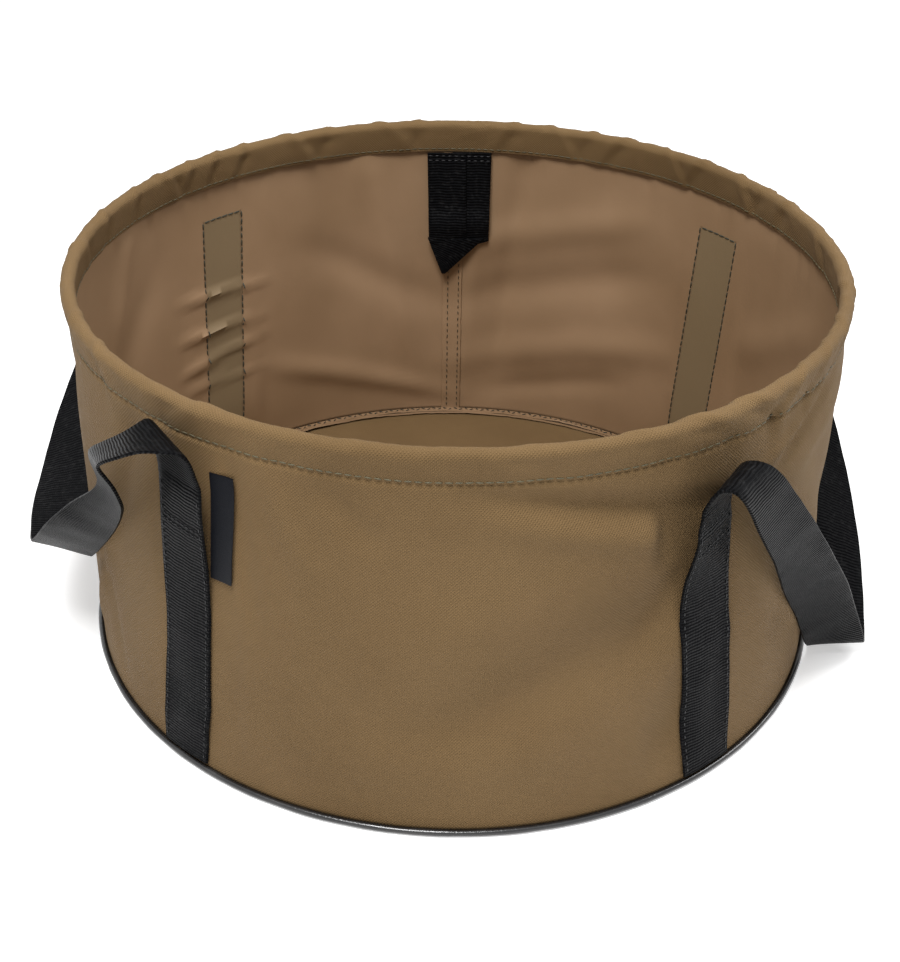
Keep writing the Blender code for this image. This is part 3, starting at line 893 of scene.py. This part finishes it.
def sewRow(name, places, thread, scale=1.0):    # places are (point, way along the row, way out of the cloth)
    template = stitchDash.data
    mesh = bpy.data.meshes.new(name)
    build = bmesh.new()
    jitter = random.Random(len(places))
    for point, along, out in places:
        side = along.cross(out).normalized()
        tilt = jitter.uniform(-0.10, 0.10)
        way = (along + side * tilt).normalized()
        side = way.cross(out).normalized()
        grid = Matrix((side, out.normalized(), way)).transposed().to_4x4()
        grid = Matrix.Translation(point) @ grid @ Matrix.Diagonal((scale, scale, scale * jitter.uniform(0.9, 1.06), 1))
        before = len(build.verts)
        build.from_mesh(template)
        build.verts.ensure_lookup_table()
        for vert in build.verts[before:]:
            vert.co = grid @ vert.co
    build.to_mesh(mesh)
    build.free()
    row = bpy.data.objects.new(name, mesh)
    bpy.context.scene.collection.objects.link(row)
    mendNormals(row)
    finishPiece(row, [thread], 80)
    return row


def rowUp(angleAt, shift, low, high, clear, pitch):    # stitches up the wall, beside a line of it
    count = int((high - low) / pitch)
    aside = math.degrees(shift / meanRadius)
    places = []
    for n in range(count):
        z = low + (n + 0.5) * (high - low) / count
        point = onWall(angleAt(z) + aside, z, clear)
        along = onWall(angleAt(z + 0.001) + aside, z + 0.001, clear) - point
        places.append((point, along.normalized(), turnedBy(angleAt(z))))
    return places


def rowAcross(angle, z, width, clear, pitch):    # stitches along the wall
    count = max(int(width / pitch), 1)
    places = []
    for n in range(count):
        spot = angle + math.degrees(((n + 0.5) / count - 0.5) * width / meanRadius)
        out = turnedBy(spot)
        places.append((onWall(spot, z, clear), Vector((-out.y, out.x, 0)), out))
    return places


stitchDash = makeStitch()


# Piping

pipingSizes = {
    "ring": (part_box("base_welt")[1][0] - 0.0028, 0.0021),
    "radius": 0.0017,
    "cord": 0.0012,
    "uneven": 0.00022,
}


def makePipingRing():
    (ringRadius, ringHeight), thick = pipingSizes["ring"], pipingSizes["radius"]
    pieces = []
    for name, radius, material, node in (
        ("basePiping", thick, glossPiping, "base_welt"),
        ("pipingCord", pipingSizes["cord"], threads["hemThread"], "welt_cord"),
    ):
        deselectAll()
        bpy.ops.mesh.primitive_torus_add(
            major_segments=360, minor_segments=14, major_radius=ringRadius, minor_radius=radius,
            location=(0, 0, ringHeight),
        )
        piece = bpy.context.active_object
        piece.name = name
        bpy.ops.object.transform_apply(location=True)
        if node == "base_welt":
            for vert in piece.data.vertices:
                out = turnedBy(fromFront(vert.co))
                lump = noise.noise(Vector((out.x * 16, out.y * 16, vert.co.z * 90)))
                away = vert.co - Vector((out.x * ringRadius, out.y * ringRadius, ringHeight))
                vert.co += away.normalized() * lump * pipingSizes["uneven"]
                vert.co.z = max(vert.co.z, 0.0003)
        finishPiece(piece, [material], 180)
        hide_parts(node)
        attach(piece, "base")
        pieces.append(piece)
    return pieces


# Hem, hoop and ferrule

def makeHem():
    centreR = tub["rimRadius"] - tub["cloth"] / 2 - 0.0012
    centreZ = tub["height"] - 0.0045
    foot = tub["hemFoot"]
    outer = (wallOutside(foot), foot - 0.0002)
    inner = (wallOutside(foot) - 3 * tub["cloth"] - 0.0004, foot - 0.003)
    legs = hemLook["legRows"]
    roll = hemLook["rollRows"]
    line, levels = [], []
    for n in range(legs):
        share = n / legs
        bow = math.sin(math.pi * share) * hemLook["bulge"]
        z = outer[1] + (centreZ - outer[1]) * share
        line.append((outer[0] + (centreR + hemLook["rollRadius"] - outer[0]) * share + bow, z))
        levels.append(-1 + 0.6 * share)
    for n in range(roll + 1):
        turn = math.pi * n / roll
        line.append((centreR + hemLook["rollRadius"] * math.cos(turn), centreZ + hemLook["rollRadius"] * math.sin(turn)))
        levels.append(-0.4 + 0.8 * n / roll)
    for n in range(1, legs + 1):
        share = n / legs
        bow = math.sin(math.pi * share) * hemLook["bulge"] * 0.7
        z = centreZ + (inner[1] - centreZ) * share
        line.append((centreR - hemLook["rollRadius"] + (inner[0] - centreR + hemLook["rollRadius"]) * share - bow, z))
        levels.append(0.4 + 0.6 * share)
    lengths = [0.0]
    for here, there in zip(line, line[1:]):
        lengths.append(lengths[-1] + math.dist(here, there))
    hem = spinLine("rimHem", line, hemLook["steps"])
    table = {}
    for index, point in enumerate(line):
        before, after = line[max(index - 1, 0)], line[min(index + 1, len(line) - 1)]
        along = Vector((after[0] - before[0], after[1] - before[1])).normalized()
        table[(round(point[0], 6), round(point[1], 6))] = (levels[index], lengths[index], Vector((along.y, -along.x)))
    row = {}
    for vert in hem.data.vertices:
        level, length, normal = table[min(table, key=lambda key: (key[0] - vert.co.xy.length) ** 2
                                          + (key[1] - vert.co.z) ** 2)]
        row[vert.index] = length
        angle = fromFront(vert.co)
        out = turnedBy(angle)
        free = 1 - abs(level) ** 3 * 0.75
        deep = crease(angle, level) * free
        lumps = noise.noise(Vector((out.x * 9, out.y * 9, level * 1.2 + 7))) * 0.0005
        fine = noise.noise(Vector((out.x * 38, out.y * 38, level * 3))) * 0.0005
        move = min(max(deep + (lumps + fine) * free, -0.0018), 0.0009)
        if level < -0.4:
            near = 1 - (level + 1) / 0.6
            move = move * (1 - near) + near * drape(angle, foot)
        spot = Vector((vert.co.xy.length + normal.x * move, vert.co.z + normal.y * move))
        hoop = Vector(hemLook["hoop"][:2])
        least = hemLook["hoop"][2] + tub["cloth"] + 0.0002
        if (spot - hoop).length < least:
            spot = hoop + (spot - hoop).normalized() * least
        vert.co = (out.x * spot.x, out.y * spot.x, spot.y)
    uvs = hem.data.uv_layers.active or hem.data.uv_layers.new(name="weaveMap")
    uvs.name = "weaveMap"
    for face in hem.data.polygons:
        middle = fromFront(face.center)
        for loop in face.loop_indices:
            vertex = hem.data.loops[loop].vertex_index
            angle = middle + angleBetween(fromFront(hem.data.vertices[vertex].co), middle)
            uvs.data[loop].uv = (math.radians(angle) * meanRadius, row[vertex] + foot)
    top = [face for face in hem.data.polygons if face.center.z > centreZ + hemLook["rollRadius"] * 0.8]
    if sum(face.normal.z for face in top) < 0:
        hem.data.flip_normals()
    applyModifier(hem, "SOLIDIFY", thickness=tub["cloth"], offset=-1)
    finishPiece(hem, [wovenCloth], 60)
    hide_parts("rim_hem")
    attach(hem, "rim")
    return hem, inner


def sewHem(hem, inner):
    count = int(2 * math.pi * tub["rimRadius"] / 0.0042)
    for name, side, z in (
        ("hemStitchesOuter", 1, tub["hemFoot"] + 0.0013),
        ("hemStitchesInner", -1, inner[1] + 0.0018),
    ):
        places = []
        for n in range(count):
            out = turnedBy(360 * (n + 0.5) / count)
            start = out * (0.25 if side > 0 else 0.15)
            start.z = z
            found, point, normal, _ = hem.ray_cast(start, -out * side)
            if found:
                places.append((point + out * side * 0.00005, Vector((-out.y, out.x, 0)), out * side))
        row = sewRow(name, places, threads["hemThread"], 1.3)
        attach(row, "rim")


def dressSteel():
    for name in ("rim_hoop", "hoop_ferrule"):
        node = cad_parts[name]
        for slot in node.material_slots:
            slot.material = springSteel


# Straps up the wall

strapLook = {
    "foot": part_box("strap_front_left")[0][2],
    "anchorFoot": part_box("anchor_front_left")[0][2],
    "clear": 0.0003,
    "rows": 56,
    "keep": 0.069,
    "wander": 0.0011,    # how far the edges stray
    "stitchInset": 0.0022,
}


def webbingSection(width, thick, across=8):
    top = [((n / across - 0.5) * (width - 0.7 * thick), thick / 2) for n in range(across + 1)]
    return top + [(width / 2, 0)] + [(x, -y) for x, y in reversed(top)] + [(-width / 2, 0)]


def strapSpot(name, x, y, z):    # a point of a strap: x across, y out of its middle
    number = tub["straps"][name]
    stray = noise.noise(Vector((number, z * 26, 0))) * strapLook["wander"]
    pinch = 1 - 0.09 * abs(noise.noise(Vector((number + 9, z * 24, 4))))
    turn = math.radians(tub["twists"][name]) * smooth(z, 0.105, tub["strapTop"])
    pinned = math.copysign(tub["webbingWidth"] / 2, turn)
    reach = pinned + (x - pinned) * math.cos(turn)
    lift = (pinned - x) * math.sin(turn)
    spot = strapAngle(name, z) + math.degrees((reach * pinch + stray) / meanRadius)
    clear = strapLook["clear"] + tub["webbing"] / 2 + y + lift
    clear += 0.0006 * max(noise.noise(Vector((x * 30, number, z * 60))), 0)
    if turn:
        held = strapAngle(name, z) + math.degrees(pinned / meanRadius)
        clear += (drape(held, z) - drape(spot, z)) * smooth(z, 0.085, 0.125)
    return onWall(spot, z, clear)


def strapRow(name, shift, low, high, pitch):    # stitches up a strap's face
    count = int((high - low) / pitch)
    face = tub["webbing"] / 2 + 0.0001
    places = []
    for n in range(count):
        z = low + (n + 0.5) * (high - low) / count
        point = strapSpot(name, shift, face, z)
        along = strapSpot(name, shift, face, z + 0.001) - point
        across = strapSpot(name, shift + 0.001, face, z) - strapSpot(name, shift - 0.001, face, z)
        places.append((point, along.normalized(), across.cross(along).normalized()))
    return places


def makeStraps():
    section = webbingSection(tub["webbingWidth"], tub["webbing"])
    rows = strapLook["rows"]
    low, high = strapLook["foot"], strapLook["anchorFoot"] - 0.0001
    for name in tub["straps"]:
        def place(x, y, row):
            return strapSpot(name, x, y, low + (high - low) * row / rows)
        strap = loftStrip(f"strap_{name}_webbing", section, rows, place)
        finishPiece(strap, [blackWebbing], 55)
        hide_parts(f"strap_{name}")
        flattenWithWall(strap)


def sewStraps():
    half = tub["webbingWidth"] / 2 - strapLook["stitchInset"]
    inside = -tub["cloth"] - 0.00012
    for name in tub["straps"]:
        def line(z):
            return strapAngle(name, z)

        places = []
        for side in (-1, 1):
            places += strapRow(name, side * half, strapLook["foot"] + 0.002, strapLook["anchorFoot"] - 0.001, 0.0042)
        row = sewRow(f"strap_{name}_stitches", places, threads["blackThread"], 0.85)
        flattenWithWall(row)

        places = []
        top = tub["strapTop"] - 0.001
        for side in (-1, 1):
            places += rowUp(line, side * (half + 0.0012), strapLook["foot"] + 0.002, top, inside, 0.0046)
        places += rowAcross(line(top), top, 2 * half, inside, 0.0046)
        row = sewRow(f"strap_{name}_inside_stitches", places, threads["strapThread"], 1.6)
        flattenWithWall(row)


# Carrying loops: the stations of each, from the front anchor to the back one, as share of the way between them,
# inner edge out from the wall, height as a share of the straps' top, and way across (outward, sideways, up)

loopRoutes = {
    "right": [
        (-0.031, 0.0040, 1.095, (-0.49, 0.86, -0.13)),
        (-0.019, 0.0110, 1.103, (-0.43, 0.90, -0.06)),
        (0.002, 0.0148, 1.068, (-0.32, 0.95, -0.02)),
        (0.054, 0.0154, 0.929, (-0.16, 0.97, 0.20)),
        (0.125, 0.0130, 0.753, (0.09, 0.96, 0.28)),
        (0.220, 0.0034, 0.524, (0.50, 0.76, 0.41)),
        (0.284, 0.0013, 0.376, (0.68, 0.50, 0.53)),
        (0.358, 0.0034, 0.163, (0.82, 0.37, 0.45)),
        (0.396, 0.0052, 0.045, (0.96, 0.29, 0.00)),
        (0.429, 0.0041, 0.078, (0.97, 0.23, -0.10)),
        (0.553, 0.0027, 0.264, (0.92, 0.03, -0.40)),
        (0.699, 0.0044, 0.460, (0.84, -0.34, -0.43)),
        (0.816, 0.0063, 0.678, (0.68, -0.64, -0.37)),
        (0.911, 0.0069, 0.920, (0.41, -0.89, -0.21)),
        (0.966, 0.0100, 1.052, (0.12, -0.99, -0.06)),
        (0.981, 0.0076, 1.080, (0.00, -1.00, 0.00)),
    ],
    "left": [
        (-0.037, 0.0066, 1.173, (-0.33, 0.94, 0.09)),
        (-0.032, 0.0125, 1.179, (-0.40, 0.92, -0.03)),
        (-0.016, 0.0176, 1.177, (-0.46, 0.85, -0.26)),
        (0.011, 0.0200, 1.140, (-0.50, 0.82, -0.27)),
        (0.035, 0.0219, 1.107, (-0.49, 0.81, -0.32)),
        (0.056, 0.0224, 1.075, (-0.40, 0.87, -0.29)),
        (0.058, 0.0183, 1.010, (-0.34, 0.88, -0.33)),
        (0.073, 0.0150, 0.918, (-0.17, 0.95, -0.25)),
        (0.162, 0.0070, 0.751, (0.35, 0.94, 0.01)),
        (0.243, 0.0029, 0.594, (0.73, 0.65, 0.21)),
        (0.339, 0.0028, 0.422, (0.89, 0.32, 0.32)),
        (0.380, 0.0026, 0.397, (0.95, 0.27, 0.16)),
        (0.562, 0.0028, 0.477, (0.94, -0.02, -0.33)),
        (0.707, 0.0064, 0.626, (0.83, -0.39, -0.39)),
        (0.838, 0.0109, 0.805, (0.62, -0.72, -0.31)),
        (0.950, 0.0107, 0.977, (0.30, -0.94, -0.15)),
        (1.003, 0.0116, 1.063, (0.09, -1.00, -0.04)),
        (1.018, 0.0076, 1.083, (0.00, -1.00, 0.00)),
    ],
}
loopLook = {
    "rise": 0.0045,
    "steps": 12,       # rows per point of a route
    "spacing": 0.004,
    "rounds": 160,
    "hold": 0.10,      # how hard the stations pull
    "crease": 0.005,   # each end turns with its anchor to here
    "tail": 0.027,     # of each end that is one piece with its anchor
    "bend": 0.104,     # by here the webbing turns with the loop
    "sides": {"right": ("front_right", "back_right"), "left": ("front_left", "back_left")},
}


def splineThrough(controls, steps):
    lines = []
    for values in ([c for c, _ in controls], [a.normalized() for _, a in controls]):
        padded = [2 * values[0] - values[1], *values, 2 * values[-1] - values[-2]]
        line = []
        for n in range(1, len(padded) - 2):
            a, b, c, d = padded[n - 1:n + 3]
            for step in range(steps):
                t = step / steps
                line.append(0.5 * (2 * b + (c - a) * t + (2 * a - 5 * b + 4 * c - d) * t * t
                                   + (3 * b - 3 * c + d - a) * t * t * t))
        line.append(values[-1])
        lines.append(line)
    return list(zip(*lines))


def loopStations(side):
    front, back = loopLook["sides"][side]
    ends = (tub["straps"][front], tub["straps"][back])
    half, top = tub["webbingWidth"] / 2, tub["strapTop"]
    sense = 1 if ends[1] > ends[0] else -1
    controls = []
    for name, way in ((front, sense), (back, -sense)):
        leave = []
        for z in (top, top + loopLook["rise"]):
            across = strapSpot(name, half, 0, z) - strapSpot(name, -half, 0, z)
            leave.append((strapSpot(name, 0, 0, z), across.normalized() * way))
        controls.append(leave)
    stations = controls[0]
    for share, edge, level, (outward, sideways, up) in loopRoutes[side]:
        out = turnedBy(ends[0] + (ends[1] - ends[0]) * share)
        z = level * top
        point = out * (wallOutside(z) + edge + abs(outward) * half)
        point.z = z
        along = Vector((-out.y, out.x, 0)) * sense
        stations.append((point, out * outward + along * sideways + Vector((0, 0, up))))
    stations += controls[1][::-1]
    return settleWebbing(splineThrough(stations, loopLook["steps"]))


def settleWebbing(stations):    # the two edges relax together until the strip lies smooth at its own width
    lengths = alongStations(stations)
    count = round(lengths[-1] / loopLook["spacing"])
    step = lengths[-1] / count
    half = tub["webbingWidth"] / 2
    edges = ([], [])
    for n in range(count + 1):
        centre, across, _ = stationAt(stations, lengths, n * step)
        across = across.normalized() * half
        edges[0].append(centre + across)
        edges[1].append(centre - across)
    aims = [[point.copy() for point in edge] for edge in edges]
    slant = math.hypot(2 * half, step)
    links = [((0, n), (1, n), 2 * half, 0.9) for n in range(count + 1)]
    for n in range(count):
        links += [((0, n), (0, n + 1), step, 0.25), ((1, n), (1, n + 1), step, 0.25)]
        links += [((0, n), (1, n + 1), slant, 0.25), ((1, n), (0, n + 1), slant, 0.25)]

    def isFree(n):
        return 2 <= n <= count - 2

    for _ in range(loopLook["rounds"]):
        for edge, aim in zip(edges, aims):
            evened = [(edge[n - 1] + edge[n + 1]) / 4 + edge[n] / 2 for n in range(2, count - 1)]
            for n, even in enumerate(evened, 2):
                pulled = edge[n] + (aim[n] - edge[n]) * loopLook["hold"]
                edge[n] = pulled + (even - edge[n]) * 0.5
        for (first, a), (second, b), rest, firm in links:
            free = (1 if isFree(a) else 0, 1 if isFree(b) else 0)
            if sum(free):
                apart = edges[second][b] - edges[first][a]
                move = apart * ((apart.length - rest) * firm / sum(free) / apart.length)
                edges[first][a] = edges[first][a] + move * free[0]
                edges[second][b] = edges[second][b] - move * free[1]
        for edge in edges:
            for n in range(2, count - 1):
                point = edge[n]
                radius = point.xy.length
                least = wallOutside(min(point.z, tub["height"])) + (0.0038 if point.z > 0.196 else 0.0016)
                if radius < least:
                    point.x, point.y = point.x * least / radius, point.y * least / radius
                point.z = max(point.z, 0.0015)
    return [((a + b) / 2, (a - b).normalized()) for a, b in zip(*edges)]


def alongStations(stations):    # the distance of each station from the first
    lengths = [0.0]
    for here, there in zip(stations, stations[1:]):
        lengths.append(lengths[-1] + (there[0] - here[0]).length)
    return lengths


def stationAt(stations, lengths, distance):
    for n in range(1, len(lengths)):
        if lengths[n] >= distance or n == len(lengths) - 1:
            share = (distance - lengths[n - 1]) / max(lengths[n] - lengths[n - 1], 1e-9)
            share = min(max(share, 0.0), 1.0)
            centre = stations[n - 1][0].lerp(stations[n][0], share)
            across = stations[n - 1][1].lerp(stations[n][1], share)
            way = (stations[n][0] - stations[n - 1][0]).normalized()
            return centre, across, way
    return None


def stripFrame(stations, lengths, distance):
    centre, across, _ = stationAt(stations, lengths, distance)
    before = stationAt(stations, lengths, max(distance - 0.003, 0))[0]
    after = stationAt(stations, lengths, min(distance + 0.003, lengths[-1]))[0]
    way = (after - before).normalized()
    return centre, across.normalized(), way.cross(across).normalized(), way


def makeLoops():
    section = webbingSection(tub["webbingWidth"], tub["webbing"])
    for side, (front, back) in loopLook["sides"].items():
        stations = loopStations(side)
        lengths = alongStations(stations)
        whole = lengths[-1]
        print(f"{side} carrying loop: {whole:.3f} m")
        for name, isFront in ((front, True), (back, False)):
            ordered = stations if isFront else stations[::-1]
            measured = lengths if isFront else [whole - value for value in reversed(lengths)]
            makeAnchor(name, ordered, measured, section)
            makeHalfLoop(side, name, ordered, measured, section, whole / 2)


def makeAnchor(name, stations, lengths, section):
    foot, top = strapLook["anchorFoot"], tub["strapTop"]
    lift = top - foot
    tail = loopLook["tail"]
    rows = 40
    out = turnedBy(strapAngle(name, top))
    flip = 1 if stations[0][1].dot(Vector((-out.y, out.x, 0))) > 0 else -1

    def place(x, y, row):
        distance = (lift + tail) * row / rows - lift
        if distance <= 0:
            return strapSpot(name, x, y, top + distance)
        centre, across, _, along = stripFrame(stations, lengths, distance)
        across = across * flip
        through = across.cross(along).normalized()
        settle = 1 - smooth(distance, 0.0, 0.014)
        curve = -through * (x * x / (2 * meanRadius)) * settle
        return centre + across * x + through * y + curve

    anchor = loftStrip(f"anchor_{name}_webbing", section, rows, place)
    finishPiece(anchor, [blackWebbing], 55)
    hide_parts(f"anchor_{name}")
    start = strapSpot(name, 0, 0, top - loopLook["crease"])
    end = stationAt(stations, lengths, loopLook["crease"])[0]
    tuple(end)
    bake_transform(anchor)

    half = tub["webbingWidth"] / 2 - strapLook["stitchInset"]
    face = tub["webbing"] / 2 + 0.00012
    places = []
    for z in (foot + 0.0015, foot + 0.0045):
        for n in range(8):
            x = ((n + 0.5) / 4 - 1) * half
            across = strapSpot(name, x + 0.001, face, z) - strapSpot(name, x - 0.001, face, z)
            places.append((strapSpot(name, x, face, z), across.normalized(), turnedBy(strapAngle(name, z))))
    for sideways in (-1, 1):
        places += strapRow(name, sideways * half, foot, top - 0.002, 0.0042)
    row = sewRow(f"anchor_{name}_stitches", places, threads["blackThread"], 0.85)
    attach(row, "anchors")


def makeHalfLoop(side, name, stations, lengths, section, middle):
    tail = loopLook["tail"]
    rows = int((middle - tail) / 0.0026)

    def place(x, y, row):
        distance = tail + (middle - tail) * row / rows
        centre, across, through, _ = stripFrame(stations, lengths, distance)
        buckle = 0.0006 * noise.noise(Vector((distance * 60, x * 40, len(name))))
        return centre + across * x + through * (y + buckle)

    half = loftStrip(f"loop_{name}_webbing", section, rows, place)
    finishPiece(half, [blackWebbing], 55)
    end = "front" if name.startswith("front") else "back"
    nodes = [f"{side}_bend_{end}"] + ([f"{side}_loop"] if end == "front" else [])
    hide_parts(*nodes)
    for row in range(rows + 1):
        tuple(stationAt(stations, lengths, tail + (middle - tail) * row / rows)[0])
    bendEnd = stationAt(stations, lengths, loopLook["bend"])[0]
    tuple(bendEnd)
    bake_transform(half)
    return half


# Back seam inside the wall, and its stitches

seamLook = {"width": 0.013, "foot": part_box("back_seam")[0][2], "top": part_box("back_seam")[1][2], "rows": 60}


def makeBackSeam():
    section = webbingSection(seamLook["width"], tub["cloth"], 6)
    low, high = seamLook["foot"], seamLook["top"]
    angle = tub["backSeam"]

    def place(x, y, row):
        z = low + (high - low) * row / seamLook["rows"]
        frayed = 1 + 0.06 * noise.noise(Vector((z * 120, x * 200, 2)))
        spot = angle + math.degrees(x * frayed / meanRadius)
        lift = 0.0005 * max(noise.noise(Vector((z * 40, x * 90, 8))), 0)
        return onWall(spot, z, y - 1.5 * tub["cloth"] - 0.0003 - lift)

    flap = loftStrip("backSeamFlap", section, seamLook["rows"], place)
    finishPiece(flap, [coatedCloth], 55)
    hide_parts("back_seam")
    flattenWithWall(flap)
    places, outer = [], []
    for shift in (-0.0042, 0.0030):
        places += rowUp(lambda z: angle, shift, low + 0.002, high - 0.001, -2 * tub["cloth"] - 0.0008, 0.0044)
        outer += rowUp(lambda z: angle, shift, low + 0.002, tub["hemFoot"] - 0.002, 0.0001, 0.0044)
    flattenWithWall(sewRow("backSeamStitchesInside", places, threads["strapThread"], 1.0))
    flattenWithWall(sewRow("backSeamStitchesOutside", outer, threads["hemThread"], 1.0))


# Blank side label in the front left strap's edge

labelSizes = {
    "low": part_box("side_label")[0][2],
    "high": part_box("side_label")[1][2],
    "width": 0.0125,
    "thick": 0.0007,
    "curl": 0.0022,
}


def makeSideLabel():
    section = webbingSection(labelSizes["width"], labelSizes["thick"], 6)
    strapEdge = math.degrees((tub["webbingWidth"] / 2 + labelSizes["width"] / 2 - 0.0008) / meanRadius)
    low, high = labelSizes["low"], labelSizes["high"]

    def place(x, y, row):
        z = low + (high - low) * row / 26
        free = (x / labelSizes["width"] + 0.5) ** 2
        wavy = 0.5 + 0.5 * noise.noise(Vector((z * 50, 3, 1)))
        clear = 0.0006 + y + free * labelSizes["curl"] * wavy
        return onWall(strapAngle("front_left", z) + strapEdge + math.degrees(x / meanRadius), z, clear)

    label = loftStrip("sideLabelBlank", section, 26, place)
    finishPiece(label, [wovenLabel], 55)
    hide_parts("side_label")
    flattenWithWall(label)


# Pull loop inside the back of the rim

pullLook = {
    "middle": 0.0,
    "spread": 0.041,
    "webbing": 0.025,
    "top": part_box("pull_root")[1][2],
    "front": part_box("pull_loop")[0][1],
    "back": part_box("pull_loop")[1][1],
    "legDrop": 0.0625,
    "tip": 0.023,
}


def makePullLoop():
    half = pullLook["spread"] / 2
    wide = pullLook["webbing"]
    top, drop = pullLook["top"], pullLook["legDrop"]
    front, back = pullLook["front"], pullLook["back"]
    section = webbingSection(wide, 0.00145)
    legs = (
        ("pullLegLeft", -half + wide / 2, 0.0012, front + 0.0009, -0.6),
        ("pullLegRight", half - wide / 2, -0.0004, back - 0.0009, 0.3),
    )
    for name, centre, lean, depth, seed in legs:
        def place(x, y, row):
            share = row / 40
            hang = share * drop
            roundEnd = smooth(share, 0.82, 1.0)
            z = top - hang + 0.0022 * roundEnd * (abs(x) / (wide / 2)) ** 3
            out = 0.0016 * math.sin(math.pi * smooth(share, 0.55, 1.0)) + 0.0010 * noise.noise(
                Vector((x * 50, hang * 28, seed)))
            return Vector((centre + x + lean * share, depth - y - out * smooth(share, 0.05, 0.4), z))

        leg = loftStrip(name, section, 40, place)
        finishPiece(leg, [blackWebbing], 55)
        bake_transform(leg)
        if name == "pullLegLeft":
            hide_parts("pull_loop", "pull_root")

    deselectAll()
    bpy.ops.mesh.primitive_grid_add(x_subdivisions=22, y_subdivisions=16, size=1, location=(0, 0, 0))
    fold = bpy.context.active_object
    fold.name = "pullFold"
    tipX = -half + wide * 0.42
    bottom = top - drop
    uvs = fold.data.uv_layers.active
    uvs.name = "weaveMap"
    spots = [(vert.co.x + 0.5, vert.co.y + 0.5) for vert in fold.data.vertices]
    for loop in fold.data.loops:
        u, v = spots[loop.vertex_index]
        uvs.data[loop.index].uv = ((u - 0.5) * wide * 0.7 + v * 0.012, v * 0.03 + u * 0.012)
    for vert, (u, v) in zip(fold.data.vertices, spots):
        left = Vector((-half + 0.0006, bottom + 0.004))
        right = Vector((half - 0.004, bottom + 0.004))
        tip = Vector((tipX, bottom - pullLook["tip"]))
        high = left.lerp(right, u)
        spread = 0.06 + 0.94 * v
        spot = tip.lerp(high, spread)
        crown = math.sin(math.pi * u) * 0.0014 * v
        vert.co = (spot.x, (front + back) / 2 + 0.0002 - crown, spot.y)
    applyModifier(fold, "SOLIDIFY", thickness=0.0024, offset=0)
    applyModifier(fold, "BEVEL", width=0.0007, segments=3, limit_method="ANGLE", angle_limit=math.radians(40))
    finishPiece(fold, [blackWebbing], 55)
    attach(fold, "pull")

    places = []
    for n in range(10):
        for z in (top - 0.0015, top - 0.0045):
            point = Vector(((n + 0.5) / 10 * pullLook["spread"] - half, front - 0.00015, z))
            places.append((point, Vector((1, 0, 0)), Vector((0, -1, 0))))
    row = sewRow("pullRootStitches", places, threads["blackThread"], 0.9)
    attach(row, "pull_top")


# Stitches of the base seam

def sewBaseSeam():
    places = []
    count = 330
    for n in range(count):
        angle = 360 * n / count
        out = turnedBy(angle)
        slant = 1 if n % 2 else -1
        point = out * (0.1998 + slant * 0.0006)
        point.z = 0.0042
        along = (Vector((-out.y, out.x, 0)) + out * slant * 0.8).normalized()
        places.append((point, along, Vector((0, 0, 1))))
    row = sewRow("baseSeamStitches", places, threads["strapThread"], 1.15)
    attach(row, "base")


panel = makeBase()
makeBaseSeam()
sewBaseSeam()
makePipingRing()
print("base made")
makeWall()
print("wall made")
hem, hemInner = makeHem()
sewHem(hem, hemInner)
dressSteel()
print("rim made")
makeStraps()
sewStraps()
makeLoops()
print("straps and carrying loops made")
makeBackSeam()
makeSideLabel()
makePullLoop()
bpy.data.objects.remove(stitchDash, do_unlink=True)
print("pull loop, label and back seam made")
